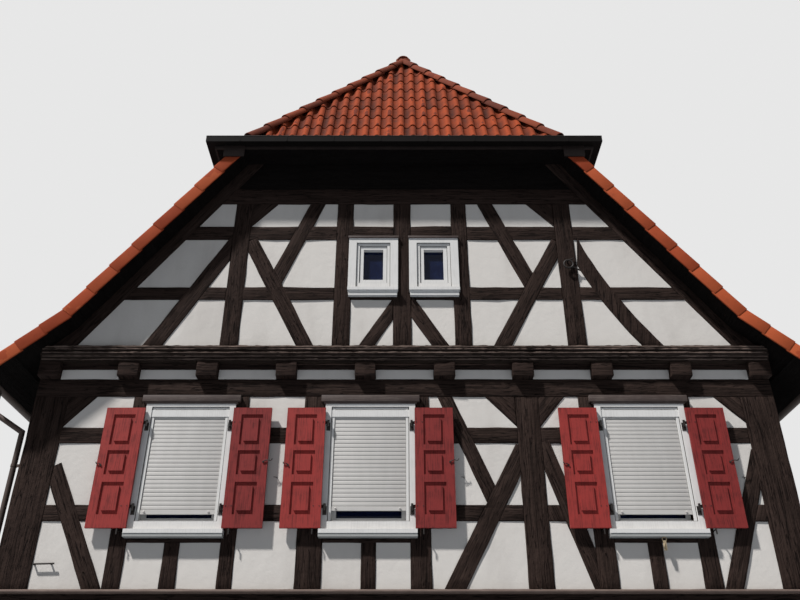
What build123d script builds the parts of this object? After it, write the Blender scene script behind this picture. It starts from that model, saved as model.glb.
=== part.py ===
from build123d import *
from math import atan2, cos, degrees, hypot, radians, sin, tan
import os

# Half-timbered house under a half-hipped roof. Millimetres, +Z up, the seen gable faces -Y.
# The origin lies on the ground under the middle of the house.

# Storeys and walls
house_width = 8700
house_length = 10400
ground_wall_top = 3060
storey_base = 3240
plate_bottom = 5415
plate_top = 5640
joist_height = 190
joist_width = 250
joist_count = 10
joist_projection = 100
gable_sill_height = 213
collar_bottom = 8171
collar_height = 250

# Masonry ground storey
masonry_thickness = 400
masonry_set_back = 20
plinth_height = 450
plinth_projection = 30
slab_height = 150
slab_gap = 2

# Timber walls
frame_depth = 160
corner_width = 395
corner_depth = 260
infill_recess = 12
infill_thickness = 120
gable_jetty = 80
ledge_height = 50
ledge_projection = 75
mitre_gap = 2
smallest_panel = 4000
deck_thickness = 30

# Roof
main_pitch = 54.3
eaves_pitch = 43.0
hip_pitch = 64.0
ridge_height = 12040
ridge_set_back = 1030
kick_x = 4080
eaves_x = 4790
roof_thickness = 110
rafter_reach = 280
verge_overhang = 300
course_gauge = 370
course_step = 26
cheek_depth = 135
cheek_thickness = 24
hip_overhang = 305
cap_radius = 120
cap_wall = 18
cap_rise = 30

# Boards and gutters under the half-hip and along the eaves
fascia_half_width = 2550
fascia_thickness = 25
fascia_height = 170
fascia_drop = 40
corner_board = (2142, 2420)
corner_board_drop = 140
corner_board_thickness = 20
soffit_thickness = 20
board_thickness = 60
gutter_width = 105
gutter_height = 100
gutter_wall = 5
gutter_lap = 30
return_length = 650
eaves_gutter_radius = 70
eaves_gutter_wall = 4
eaves_gutter_drop = 100
bracket_width = 25
bracket_thickness = 5
gutter_hooks = 7
hook_sides = 12
pipe_radius = 32
pipe_wall = 4
pipe_clearance = 12
pipe_foot = 120
neck_drop = 255
neck_fall = 250
neck_tail = 110
clip_heights = [4600, 2650, 700]
clip_height = 30
clip_thickness = 4
clip_arm = 24

# Windows of the storey
window_width = 1044
window_bottom = 3800
window_top = 5310
casing_proud = 30
casing_border = 71
casing_hole = (3940, 5275)
guide_width = 39
guide_span = (3950, 5245)
guide_recess = 14
box_panel = (5152, 5236)
box_panel_proud = 22
curtain_bottom = 4020
curtain_top = box_panel[0]
curtain_thickness = 12
curtain_recess = 26
curtain_gap = 2
curtain_raised = [0, 40, 0]
sash_recess = 75
sash_border = 50
glass_thickness = 24
pane_recess = 105
nose_height = 46
nose_projection = 90
window_sill_height = 35
window_sill_projection = 84
sill_overhang = 12
header_overhang = 52
header_height = 105
header_thickness = 52
header_step = (24, 30, 34)

# Windows of the attic
gable_window_width = 634
gable_window_bottom = 6793
gable_window_top = 7596
gable_hole_width = 435
gable_hole = (6848, 7527)
gable_frame_recess = 10
gable_frame_width = 40
gable_frame_span = (6927, 7487)
gable_sash_recess = 35
gable_sash_border = 52
gable_pane_recess = 62
gable_nose_height = 45
gable_nose_projection = 74
gable_apron_height = 66
gable_apron_projection = 54
gable_header_overhang = 12
gable_header_height = 32
gable_header_thickness = 45

# Windows of the ground storey
ground_window_width = 1000
ground_window_bottom = 950
ground_window_top = 2350
ground_window_recess = 120
sash_depth = 70
ground_border = 95
ground_pane_recess = 25
ground_sill_height = 60
ground_sill_projection = 70

# Entrance
door_width = 1080
door_top = 2300
door_border = 80
door_thickness = 60
door_frame_depth = 90
door_rebate = 18
door_clearance = 3
door_stile = 130
door_panels = [(330, 950), (1100, 2050)]

# Wing shutters and their ironwork
leaf_width = 442
leaf_bottom = 3857
leaf_height = 1385
leaf_thickness = 35
leaf_stile = 98
leaf_panels = [(145, 505), (590, 870), (938, 1302)]
panel_recess = 11
panel_groove = 44
pin_spread = 478
pin_to_leaf = 36
leaf_to_casing = 15
pin_radius = 7
pin_fit = 0.1
knuckle_radius = 13
knuckle_length = 60
hinge_heights = [4095, 5065]
strap_height = 36
strap_thickness = 4
strap_reach = 170
tongue_thickness = 8
pintle_plate_width = 44
pintle_plate_height = 96
pintle_plate_thickness = 5
pintle_arm = 16
pintle_gap = 0.5
catch_radius = 7
catch_clearance = 12
catch_inset = 85
catch_tongue = 60
catch_thickness = 6

half_width = house_width / 2
half_length = house_length / 2
gable_base = plate_top + joist_height
gable_bottom = gable_base + gable_sill_height
gable_face = half_length + gable_jetty
verge_face = gable_face + verge_overhang
hip_face = gable_face + hip_overhang
ridge_end = half_length - ridge_set_back
main_slope = tan(radians(main_pitch))
eaves_slope = tan(radians(eaves_pitch))
hip_slope = tan(radians(hip_pitch))
kick_z = ridge_height - main_slope * kick_x
hip_ratio = hip_slope / main_slope
pin_out = casing_proud + leaf_to_casing + leaf_thickness / 2

os.makedirs("parts", exist_ok=True)


def main_z(x, depth):
    """Height of the steep slope at a depth square to the tiles."""
    return ridge_height - main_slope * x - depth / cos(radians(main_pitch))


def main_x(z, depth):
    return (main_z(0, depth) - z) / main_slope


def low_z(x, depth):
    """Height of the flatter eaves slope at a depth square to the tiles."""
    return kick_z - eaves_slope * (x - kick_x) - depth / cos(radians(eaves_pitch))


def low_x(z, depth):
    return (low_z(0, depth) - z) / eaves_slope


def kick_at(depth):
    """Where the two slopes meet at a depth square to the tiles."""
    x = (main_z(0, depth) - low_z(0, depth)) / (main_slope - eaves_slope)
    return (x, main_z(x, depth))


def hip_z(y, depth):
    """Height of the half-hip at a distance y from the middle of the house."""
    return ridge_height - hip_slope * (y - ridge_end) - depth / cos(radians(hip_pitch))


def save(part, name):
    part.label = name
    export_step(part, f"parts/{name}.step")


# The four wall faces: local x runs to the right as seen from outside, local y is +Z.
front_wall = Plane(origin=(0, -half_length, 0), x_dir=(1, 0, 0), z_dir=(0, -1, 0))
back_wall = Plane(origin=(0, half_length, 0), x_dir=(-1, 0, 0), z_dir=(0, 1, 0))
right_wall = Plane(origin=(half_width, 0, 0), x_dir=(0, 1, 0), z_dir=(1, 0, 0))
left_wall = Plane(origin=(-half_width, 0, 0), x_dir=(0, -1, 0), z_dir=(-1, 0, 0))
end_walls = (front_wall, back_wall)
side_walls = (right_wall, left_wall)
end_gables = [wall.offset(gable_jetty) for wall in end_walls]

# The storey of the gable ends: posts and studs as (left, right), braces as (x, z, x, z, width)
# along their middle lines, brackets as (corner x, reach), all from the middle of the wall.
end_posts = [
    (-3185, -2995),
    (-1985, -1823),
    (-1170, -890),
    (57, 283),
    (1298, 1571),
    (2039, 2254),
    (3145, 3342),
]
end_studs = [(-2587, -2420), (-470, -311), (2605, 2765)]
end_bays = [(-2995, -1985), (-890, 57), (2254, 3145)]
end_windows = [-2492, -400, 2733]
end_braces = [
    (-3287, 3240, -3920, 4490, 184),
    (526, 3240, 1310, 4700, 200),
    (2078, 3240, 1590, 4760, 180),
    (3444, 3240, 3995, 4660, 175),
]
end_half_braces = [(474, 5415, 960, 4235, 165)]
end_brackets = [(-3955, 335), (1298, -350), (1571, 310), (4005, -370)]
bracket_drop = 375

# The same storey on the long sides, repeated plainly.
side_posts = [(-3700, -3510), (-2490, -2300), (-650, -460), (460, 650), (2300, 2490), (3510, 3700)]
side_studs = [(-3080, -2920), (-80, 80), (2920, 3080)]
side_bays = [(-3510, -2490), (-460, 460), (2490, 3510)]
side_windows = [-3000, 0, 3000]
side_braces = [(-3800, 3240, -4650, 5000, 180), (3800, 3240, 4650, 5000, 180)]
side_half_braces = [(-1900, 3240, -1000, 5415, 180), (1900, 3240, 1000, 5415, 180)]
side_brackets = []

low_rail = (3950, 4130)
high_rail = (4840, 5030)
sill_rail = (3720, 3850)

# The gable above, in the same way.
gable_posts = [(-2242, -2018), (-885, -669), (-142, 84), (618, 823), (1979, 2210)]
gable_bays = [(-669, -142), (84, 618)]
gable_windows = [-397, 378]
gable_rails = [(6690, 6870), (7594, 7801)]
gable_braces = [
    (-3057, 6043, -2180, 7594, 205),
    (-1207, 6043, -1960, 7500, 190),
    (-467, 6043, -60, 6690, 165),
    (440, 6043, 40, 6690, 180),
    (1186, 6043, 1960, 7480, 190),
]
gable_half_braces = [(-1151, 8171, -1640, 6960, 185), (1078, 8171, 1590, 6940, 190)]
gable_brackets = [(-2018, 335), (1979, -350)]
curved_brace_inner = [(2214, 7204), (2458, 6697), (2887, 6043)]
curved_brace_outer = [(3142, 6043), (2694, 6697), (2257, 7628)]

storey_left = -half_width + corner_width
storey_right = half_width - corner_width
side_left = -half_length + corner_depth
side_right = half_length - corner_depth


def uprights(spans, bottom, top):
    for left, right in spans:
        with Locations(((left + right) / 2, (bottom + top) / 2)):
            Rectangle(right - left, top - bottom)


def rails_between(left, right, levels):
    for bottom, top in levels:
        with Locations(((left + right) / 2, (bottom + top) / 2)):
            Rectangle(right - left, top - bottom)


def slants(braces):
    """Straight braces along their middle lines, made a little long so that walls trim them."""
    for x0, z0, x1, z1, width in braces:
        turn = degrees(atan2(z1 - z0, x1 - x0))
        with Locations(Location(((x0 + x1) / 2, (z0 + z1) / 2, 0), turn)):
            Rectangle(hypot(x1 - x0, z1 - z0) + width, width)


def corner_brackets(brackets, top):
    for x, reach in brackets:
        Polygon((x, top), (x + reach, top), (x, top - bracket_drop), align=None)


def trimmed_wall(area, posts, studs, rails, braces, half_braces, extra, holes):
    """Trims the timbers of a wall to one another: posts run through, braces stand between them,
    rails and studs fit between the braces, and the panels take what is left."""
    with BuildSketch() as post_faces:
        posts()
        add(area, mode=Mode.INTERSECT)
    with BuildSketch() as brace_faces:
        braces()
        add(area, mode=Mode.INTERSECT)
        add(post_faces.sketch, mode=Mode.SUBTRACT)
    with BuildSketch() as half_faces:
        half_braces()
        extra()
        add(area, mode=Mode.INTERSECT)
        add(post_faces.sketch, mode=Mode.SUBTRACT)
        add(brace_faces.sketch, mode=Mode.SUBTRACT)
    with BuildSketch() as rail_faces:
        rails()
        add(area, mode=Mode.INTERSECT)
        for other in (post_faces, brace_faces, half_faces):
            add(other.sketch, mode=Mode.SUBTRACT)
    layers = [post_faces, brace_faces, half_faces, rail_faces]
    if studs:
        with BuildSketch() as stud_faces:
            studs()
            for other in (post_faces, brace_faces, half_faces, rail_faces):
                add(other.sketch, mode=Mode.SUBTRACT)
        layers.append(stud_faces)
    with BuildSketch() as panel_faces:
        add(area)
        holes()
        for other in layers:
            add(other.sketch, mode=Mode.SUBTRACT)
    layers.append(panel_faces)
    kinds = ["posts", "braces", "half_braces", "rails", "studs", "panels"]
    if not studs:
        kinds.remove("studs")
    return {kind: faces.sketch for kind, faces in zip(kinds, layers)}


def timber_part(name, layouts, kinds, thickness, recess):
    """Extrudes the named faces of each wall's layout inwards from its outer face."""
    with BuildPart() as timbers:
        for wall, layout in layouts:
            with BuildSketch(wall.offset(-recess)):
                for kind in kinds:
                    for face in layout[kind].faces():
                        if face.area > smallest_panel:
                            add(face)
            extrude(amount=-thickness)
    save(timbers.part, name)
    return timbers.part


def storey_layout(left, right, posts, studs, bays, braces, half_braces, brackets):
    with BuildSketch() as area:
        rails_between(left, right, [(storey_base, plate_bottom)])

    def window_holes():
        for bay_left, bay_right in bays:
            with Locations(((bay_left + bay_right) / 2, (sill_rail[1] + plate_bottom) / 2)):
                Rectangle(bay_right - bay_left, plate_bottom - sill_rail[1], mode=Mode.SUBTRACT)

    def storey_rails():
        edges = [left] + [edge for bay in bays for edge in bay] + [right]
        for start, end in zip(edges[0::2], edges[1::2]):
            rails_between(start, end, [low_rail, high_rail])
        for bay_left, bay_right in bays:
            rails_between(bay_left, bay_right, [sill_rail])

    return trimmed_wall(
        area.sketch,
        lambda: uprights(posts, storey_base, plate_bottom),
        lambda: uprights(studs, storey_base, sill_rail[0]),
        storey_rails,
        lambda: slants(braces),
        lambda: slants(half_braces) if half_braces else None,
        lambda: corner_brackets(brackets, plate_bottom),
        window_holes,
    )


def gable_layout():
    with BuildSketch() as area:
        Polygon(
            (-main_x(gable_bottom, rafter_reach), gable_bottom),
            (main_x(gable_bottom, rafter_reach), gable_bottom),
            (main_x(collar_bottom, rafter_reach), collar_bottom),
            (-main_x(collar_bottom, rafter_reach), collar_bottom),
            align=None,
        )

    def straight_and_curved():
        slants(gable_braces)
        with BuildSketch(mode=Mode.PRIVATE) as curved:
            with BuildLine():
                Spline(*curved_brace_inner)
                Line(curved_brace_inner[-1], curved_brace_outer[0])
                Spline(*curved_brace_outer)
                Line(curved_brace_outer[-1], curved_brace_inner[0])
            make_face()
        add(curved.sketch)

    def window_holes():
        for left, right in gable_bays:
            bottom, top = gable_rails[0][1], gable_rails[1][0]
            with Locations(((left + right) / 2, (bottom + top) / 2)):
                Rectangle(right - left, top - bottom, mode=Mode.SUBTRACT)

    return trimmed_wall(
        area.sketch,
        lambda: uprights(gable_posts, gable_bottom, collar_bottom),
        None,
        lambda: rails_between(-half_width, half_width, gable_rails),
        straight_and_curved,
        lambda: slants(gable_half_braces),
        lambda: corner_brackets(gable_brackets, collar_bottom),
        window_holes,
    )


# Masonry walls of the ground storey
ground_x = half_width - masonry_set_back
ground_y = half_length - masonry_set_back
ground_windows = {"front": end_windows, "back": end_windows, "right": side_windows}
ground_windows["left"] = [side_windows[0], side_windows[2]]
door_centre = side_windows[1]


def ground_wall(name, wall, half_span):
    """A plain wall with a plinth, cut through for its windows and for the door."""
    with BuildPart() as masonry:
        face = wall.offset(-masonry_set_back)
        with BuildSketch(face):
            rails_between(-half_span, half_span, [(0, ground_wall_top)])
        extrude(amount=-masonry_thickness)
        with BuildSketch(face):
            rails_between(-half_span, half_span, [(0, plinth_height)])
        extrude(amount=plinth_projection)
        with BuildSketch(face.offset(plinth_projection)):
            half_opening = ground_window_width / 2
            for centre in ground_windows[name]:
                rails_between(
                    centre - half_opening, centre + half_opening,
                    [(ground_window_bottom, ground_window_top)],
                )
            if name == "left":
                rails_between(
                    door_centre - door_width / 2, door_centre + door_width / 2,
                    [(slab_height, door_top)],
                )
        extrude(amount=-masonry_thickness - plinth_projection, mode=Mode.SUBTRACT)
    save(masonry.part, f"ground_wall_{name}")


ground_wall("front", front_wall, ground_x)
ground_wall("back", back_wall, ground_x)
ground_wall("right", right_wall, ground_y - masonry_thickness)
ground_wall("left", left_wall, ground_y - masonry_thickness)

room_x = ground_x - masonry_thickness
room_y = ground_y - masonry_thickness
with BuildPart() as ground_floor:
    with BuildSketch():
        Rectangle(2 * room_x, 2 * room_y)
    extrude(amount=slab_height)
save(ground_floor.part, "ground_floor")

with BuildPart() as upper_floor:
    with BuildSketch(Plane.XY.offset(ground_wall_top)):
        Rectangle(2 * (half_width - frame_depth - slab_gap), 2 * (half_length - frame_depth - slab_gap))
    extrude(amount=storey_base - ground_wall_top)
save(upper_floor.part, "upper_floor")

# Sill beams under the timber storey, and the drip ledge nailed over their joint with it
with BuildPart() as sill_beams:
    with BuildSketch(Plane.XY.offset(ground_wall_top)):
        for side in (-1, 1):
            with Locations((0, side * (half_length - frame_depth / 2))):
                Rectangle(house_width, frame_depth)
            with Locations((side * (half_width - frame_depth / 2), 0)):
                Rectangle(frame_depth, house_length - 2 * frame_depth - 2 * mitre_gap)
    extrude(amount=storey_base - ground_wall_top)
save(sill_beams.part, "sill_beams")

with BuildPart() as drip_ledges:
    ledge_low = storey_base - ledge_height
    nose = ledge_height / 2
    ledge_profile = [
        (0, ledge_low), (ledge_projection - 10, ledge_low), (ledge_projection, ledge_low + 10),
        (ledge_projection, ledge_low + nose), (0, storey_base),
    ]
    with BuildSketch(Plane.YZ.offset(-half_width - ledge_projection)):
        Polygon(*[(-half_length - y, z) for y, z in ledge_profile], align=None)
        Polygon(*[(half_length + y, z) for y, z in ledge_profile], align=None)
    extrude(amount=house_width + 2 * ledge_projection)
    with BuildSketch(Plane.XZ.offset(-half_length + mitre_gap)):
        Polygon(*[(-half_width - x, z) for x, z in ledge_profile], align=None)
        Polygon(*[(half_width + x, z) for x, z in ledge_profile], align=None)
    extrude(amount=house_length - 2 * mitre_gap)
save(drip_ledges.part, "drip_ledges")

# The timber storey
end_layout = storey_layout(
    storey_left, storey_right, end_posts, end_studs, end_bays,
    end_braces, end_half_braces, end_brackets,
)
side_layout = storey_layout(
    side_left, side_right, side_posts, side_studs, side_bays,
    side_braces, side_half_braces, side_brackets,
)
storey_walls = [(wall, end_layout) for wall in end_walls] + [(wall, side_layout) for wall in side_walls]

with BuildPart() as corner_posts:
    with BuildSketch(Plane.XY.offset(storey_base)):
        with GridLocations(house_width - corner_width, house_length - corner_depth, 2, 2):
            Rectangle(corner_width, corner_depth)
    extrude(amount=plate_bottom - storey_base)
save(corner_posts.part, "corner_posts")

timber_part("storey_posts", storey_walls, ["posts", "studs"], frame_depth, 0)
timber_part("storey_rails", storey_walls, ["rails"], frame_depth, 0)
storey_braces = timber_part("storey_braces", storey_walls, ["braces"], frame_depth, 0)
timber_part("storey_short_braces", storey_walls, ["half_braces"], frame_depth, 0)
timber_part("storey_infill", storey_walls, ["panels"], infill_thickness, infill_recess)

with BuildPart() as head_beams:
    with BuildSketch(Plane.XY.offset(plate_bottom)):
        for side in (-1, 1):
            with Locations((0, side * (half_length - frame_depth / 2))):
                Rectangle(house_width, frame_depth)
            with Locations((side * (half_width - frame_depth / 2), 0)):
                Rectangle(frame_depth, house_length - 2 * frame_depth - 2 * mitre_gap)
    extrude(amount=plate_top - plate_bottom)
save(head_beams.part, "head_beams")

# Attic joists, whose ends carry the gables, and the strips of infill between them
joist_spacing = (house_width - joist_width) / (joist_count - 1)
joist_length = 2 * (half_length + joist_projection)
with BuildPart() as joists:
    with BuildSketch(Plane.XY.offset(plate_top)):
        with GridLocations(joist_spacing, 1, joist_count, 1):
            Rectangle(joist_width, joist_length)
    extrude(amount=joist_height)
save(joists.part, "joists")

with BuildPart() as joist_infill:
    with BuildSketch(Plane.XY.offset(plate_top)):
        with GridLocations(joist_spacing, house_length - frame_depth, joist_count - 1, 2):
            Rectangle(joist_spacing - joist_width, frame_depth)
    extrude(amount=joist_height)
save(joist_infill.part, "joist_infill")

sill_inner = gable_face - frame_depth
with BuildPart() as attic_floor:
    with BuildSketch(Plane.XY.offset(gable_base)):
        Rectangle(2 * (half_width - frame_depth - slab_gap), 2 * (sill_inner - slab_gap))
    extrude(amount=deck_thickness)
save(attic_floor.part, "attic_floor")

with BuildPart() as eaves_plates:
    with BuildSketch(Plane.XZ.offset(-sill_inner + slab_gap)):
        inner = half_width - frame_depth
        for side in (-1, 1):
            Polygon(
                (side * inner, gable_base),
                (side * half_width, gable_base),
                (side * half_width, low_z(half_width, roof_thickness)),
                (side * inner, low_z(inner, roof_thickness)),
                align=None,
            )
    extrude(amount=2 * (sill_inner - slab_gap))
save(eaves_plates.part, "eaves_plates")

# The moulded sill of each gable, on the joist ends
sill_steps = [
    (18, 0), (18, 38), (34, 42), (34, 58), (50, 66), (62, 80), (62, 96), (46, 104), (46, 118),
    (66, 130), (76, 144), (76, 166), (58, 174), (58, 188), (0, 213),
]
with BuildPart() as gable_sills:
    for side in (-1, 1):
        with BuildSketch(Plane.YZ.offset(-half_width)):
            Polygon(
                *[(side * (gable_face + out), gable_base + up) for out, up in sill_steps],
                (side * sill_inner, gable_bottom),
                (side * sill_inner, gable_base),
                align=None,
            )
        extrude(amount=house_width)
    with BuildSketch(Plane.XZ.offset(-verge_face)):
        Polygon(
            (-half_width, gable_base),
            (half_width, gable_base),
            (half_width, low_z(half_width, roof_thickness)),
            (low_x(gable_bottom, roof_thickness), gable_bottom),
            (-low_x(gable_bottom, roof_thickness), gable_bottom),
            (-half_width, low_z(half_width, roof_thickness)),
            align=None,
        )
    extrude(amount=2 * verge_face, mode=Mode.INTERSECT)
save(gable_sills.part, "gable_sills")

gable_faces = gable_layout()
gable_walls = [(wall, gable_faces) for wall in end_gables]

timber_part("gable_posts", gable_walls, ["posts"], frame_depth, 0)
timber_part("gable_rails", gable_walls, ["rails"], frame_depth, 0)
timber_part("gable_braces", gable_walls, ["braces"], frame_depth, 0)
timber_part("gable_short_braces", gable_walls, ["half_braces"], frame_depth, 0)
timber_part("gable_infill", gable_walls, ["panels"], infill_thickness, infill_recess)

# Roof slopes: tiles, battens and boarding as one thickness, cut at the hips
hip_half_width = hip_ratio * (hip_face - ridge_end)


def slope_outline(top, bottom):
    return [
        (0, main_z(0, top)), kick_at(top), (eaves_x, low_z(eaves_x, top)),
        (eaves_x, low_z(eaves_x, bottom)), kick_at(bottom), (0, main_z(0, bottom)),
    ]


def tiled_edge(start, end, pitch):
    """Courses of tiles from start down to end: each lower edge stands a step above the next."""
    length = hypot(end[0] - start[0], end[1] - start[1])
    count = round(length / course_gauge)
    across, down = (end[0] - start[0]) / count, (end[1] - start[1]) / count
    sunk_x, sunk_z = course_step * sin(radians(pitch)), course_step * cos(radians(pitch))
    points = []
    for number in range(1, count + 1):
        lower_edge = (start[0] + number * across, start[1] + number * down)
        points.append(lower_edge)
        if number < count:
            points.append((lower_edge[0] - sunk_x, lower_edge[1] - sunk_z))
    return points


def tiled_outline():
    steep = tiled_edge((0, ridge_height), (kick_x, kick_z), main_pitch)
    flat = tiled_edge((kick_x, kick_z), (eaves_x, low_z(eaves_x, 0)), eaves_pitch)
    under = slope_outline(0, roof_thickness)[3:]
    return [(0, main_z(0, course_step)), *steep, kick_at(course_step), *flat, *under]


def hip_wedges(far):
    """Plan of the two half-hips, out to a distance from the middle of the house."""
    reach = hip_ratio * (far - ridge_end)
    for side in (-1, 1):
        Polygon((0, side * ridge_end), (reach, side * far), (-reach, side * far), align=None)


def roof_slope(side, name):
    with BuildPart() as slope:
        with BuildSketch(Plane.XZ.offset(-verge_face)):
            Polygon(*[(side * x, z) for x, z in tiled_outline()], align=None)
        extrude(amount=2 * verge_face)
        with BuildSketch(Plane.XY.offset(gable_base)):
            hip_wedges(hip_face)
        extrude(amount=ridge_height, mode=Mode.SUBTRACT)
    save(slope.part, name)
    return slope.part


roof_left = roof_slope(-1, "roof_left")
roof_right = roof_slope(1, "roof_right")

with BuildPart() as half_hips:
    with BuildSketch(Plane.YZ.offset(-hip_half_width)):
        for side in (-1, 1):
            courses = tiled_edge((ridge_end, ridge_height), (hip_face, hip_z(hip_face, 0)), hip_pitch)
            points = [
                (ridge_end, hip_z(ridge_end, course_step)), *courses,
                (hip_face, hip_z(hip_face, roof_thickness)), (ridge_end, hip_z(ridge_end, roof_thickness)),
            ]
            Polygon(*[(side * y, z) for y, z in points], align=None)
    extrude(amount=2 * hip_half_width)
    with BuildSketch(Plane.XY.offset(gable_base)):
        hip_wedges(hip_face)
    extrude(amount=ridge_height, mode=Mode.INTERSECT)
save(half_hips.part, "half_hips")

# Cheeks of the verge tiles, over the edges of both slopes, up to the box under the half-hip
soffit_low = hip_z(hip_face, roof_thickness) - fascia_drop
with BuildPart() as verge_cheeks:
    for end in (verge_face, -verge_face - cheek_thickness):
        with BuildSketch(Plane.XZ.offset(end)):
            for side in (-1, 1):
                Polygon(*[(side * x, z) for x, z in slope_outline(0, cheek_depth)], align=None)
            with Locations((0, soffit_low)):
                Rectangle(house_width, ridge_height, align=(Align.CENTER, Align.MIN), mode=Mode.SUBTRACT)
        extrude(amount=cheek_thickness)
save(verge_cheeks.part, "verge_cheeks")

# Round caps along the ridge and the four hips. They rest on the courses of tiles.
top_course = tiled_edge((0, ridge_height), (kick_x, kick_z), main_pitch)[0]
with BuildPart() as ridge_caps:
    with BuildSketch(Plane.XZ.offset(-ridge_end)):
        with Locations((0, ridge_height - cap_radius + cap_rise)):
            Circle(cap_radius)
            Circle(cap_radius - cap_wall, mode=Mode.SUBTRACT)
        Polygon(
            (0, main_z(0, course_step)), top_course, (-top_course[0], top_course[1]),
            align=None, mode=Mode.SUBTRACT,
        )
    extrude(amount=2 * ridge_end)
save(ridge_caps.part, "ridge_caps")

# Each hip cap runs from the foot of its hip to the end of the ridge
hip_foot = Vector(hip_half_width, -hip_face, hip_z(hip_face, 0))
hip_run = Vector(0, -ridge_end, ridge_height) - hip_foot
hip_section = Plane(origin=hip_foot, x_dir=(1, hip_ratio, 0), z_dir=hip_run)
main_normal = Vector(sin(radians(main_pitch)), 0, cos(radians(main_pitch)))
hip_normal = Vector(0, -sin(radians(hip_pitch)), cos(radians(hip_pitch)))
cap_feet = [
    hip_section.to_local_coords(hip_foot + downhill.normalized() * 6 * cap_radius)
    for downhill in (hip_run.cross(main_normal), hip_normal.cross(hip_run))
]
with BuildPart() as hip_caps:
    with BuildSketch(hip_section):
        with Locations((0, cap_radius - cap_rise)):
            Circle(cap_radius)
            Circle(cap_radius - cap_wall, mode=Mode.SUBTRACT)
        Polygon((0, 0), *[(foot.X, foot.Y) for foot in cap_feet], align=None, mode=Mode.SUBTRACT)
    extrude(amount=hip_run.length + cap_radius)
    split(bisect_by=Plane.YZ.offset(mitre_gap), keep=Keep.TOP)
    split(bisect_by=Plane.XZ.offset(ridge_end + mitre_gap), keep=Keep.TOP)
    mirror(about=Plane.YZ)
    mirror(about=Plane.XZ)
save(hip_caps.part, "hip_caps")

# Rafters, collar beams and boarding of the two gables, under the roof
rafter_top = hip_z(gable_face, roof_thickness)


def gable_slab(name, outline, thickness, recess):
    with BuildPart() as slab:
        for wall in end_gables:
            with BuildSketch(wall.offset(-recess)):
                outline()
            extrude(amount=-thickness)
    save(slab.part, name)


def rafter_outline():
    for side in (-1, 1):
        points = [
            (main_x(rafter_top, roof_thickness), rafter_top),
            kick_at(roof_thickness),
            (low_x(gable_bottom, roof_thickness), gable_bottom),
            (main_x(gable_bottom, rafter_reach), gable_bottom),
            (main_x(rafter_top, rafter_reach), rafter_top),
        ]
        Polygon(*[(side * x, z) for x, z in points], align=None)


def between_rafters(bottom, top):
    Polygon(
        (-main_x(bottom, rafter_reach), bottom), (main_x(bottom, rafter_reach), bottom),
        (main_x(top, rafter_reach), top), (-main_x(top, rafter_reach), top),
        align=None,
    )


collar_top = collar_bottom + collar_height
gable_slab("gable_rafters", rafter_outline, frame_depth, 0)
gable_slab("collar_beams", lambda: between_rafters(collar_bottom, collar_top), frame_depth, 0)
gable_slab("gable_boarding", lambda: between_rafters(collar_top, rafter_top), board_thickness, infill_recess)

# The box under each half-hip: a fascia that returns over the main slopes, and its soffit
fascia_front = hip_face + fascia_thickness
return_end = fascia_front - return_length
gutter_top = soffit_low + fascia_height - gutter_lap
gutter_low = gutter_top - gutter_height


def hip_box_plan(reach, back, front):
    for side in (-1, 1):
        with Locations((0, side * (back + front) / 2)):
            Rectangle(2 * reach, front - back)


with BuildPart() as hip_fascias:
    with BuildSketch(Plane.XY.offset(soffit_low)):
        hip_box_plan(fascia_half_width, return_end, fascia_front)
        for side in (-1, 1):
            with Locations((0, side * (return_end + hip_face) / 2)):
                Rectangle(2 * (fascia_half_width - fascia_thickness), hip_face - return_end, mode=Mode.SUBTRACT)
    extrude(amount=fascia_height)
    for wall in end_walls:
        with BuildSketch(wall.offset(fascia_front - half_length)):
            for hand in (-1, 1):
                left, right = sorted(hand * x for x in corner_board)
                rails_between(left, right, [(soffit_low - corner_board_drop, gutter_low)])
        extrude(amount=corner_board_thickness)
save(hip_fascias.part, "hip_fascias")

with BuildPart() as hip_soffits:
    with BuildSketch(Plane.XY.offset(soffit_low)):
        hip_box_plan(fascia_half_width - fascia_thickness, gable_face, hip_face)
        wing_start = main_x(soffit_low, 0) + slab_gap
        wing_width = fascia_half_width - fascia_thickness - wing_start
        with GridLocations(2 * wing_start + wing_width, gable_face + return_end, 2, 2):
            Rectangle(wing_width, gable_face - return_end)
    extrude(amount=soffit_thickness)
    add(roof_left, mode=Mode.SUBTRACT)
    add(roof_right, mode=Mode.SUBTRACT)
    add(verge_cheeks.part, mode=Mode.SUBTRACT)
save(hip_soffits.part, "hip_soffits")

# Box gutters round the fascias, open above, with stopped ends
def gutter_bands(inset):
    """Plan of the band that runs along the front of each fascia and back along its returns."""
    for side in (-1, 1):
        outer_front = fascia_front + gutter_width - inset
        outer_half = fascia_half_width + gutter_width - inset
        inner_front = fascia_front + inset
        inner_half = fascia_half_width + inset
        with Locations((0, side * (return_end + inset + outer_front) / 2)):
            Rectangle(2 * outer_half, outer_front - return_end - inset)
        with Locations((0, side * (return_end + inner_front) / 2)):
            Rectangle(2 * inner_half, inner_front - return_end, mode=Mode.SUBTRACT)


with BuildPart() as hip_gutters:
    with BuildSketch(Plane.XY.offset(gutter_low)):
        gutter_bands(0)
    extrude(amount=gutter_height)
    with BuildSketch(Plane.XY.offset(gutter_top)):
        gutter_bands(gutter_wall)
    extrude(amount=-(gutter_height - gutter_wall), mode=Mode.SUBTRACT)
save(hip_gutters.part, "hip_gutters")

# Half-round eaves gutters on hooked brackets
hook_radius = eaves_gutter_radius + bracket_thickness
eaves_gutter_x = eaves_x + hook_radius
eaves_gutter_z = low_z(eaves_x, 0) - eaves_gutter_drop


def half_round(side, outer, inner):
    with Locations((side * eaves_gutter_x, eaves_gutter_z)):
        Circle(outer)
        if inner:
            Circle(inner, mode=Mode.SUBTRACT)
        Rectangle(2 * outer, outer, align=(Align.CENTER, Align.MIN), mode=Mode.SUBTRACT)


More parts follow.
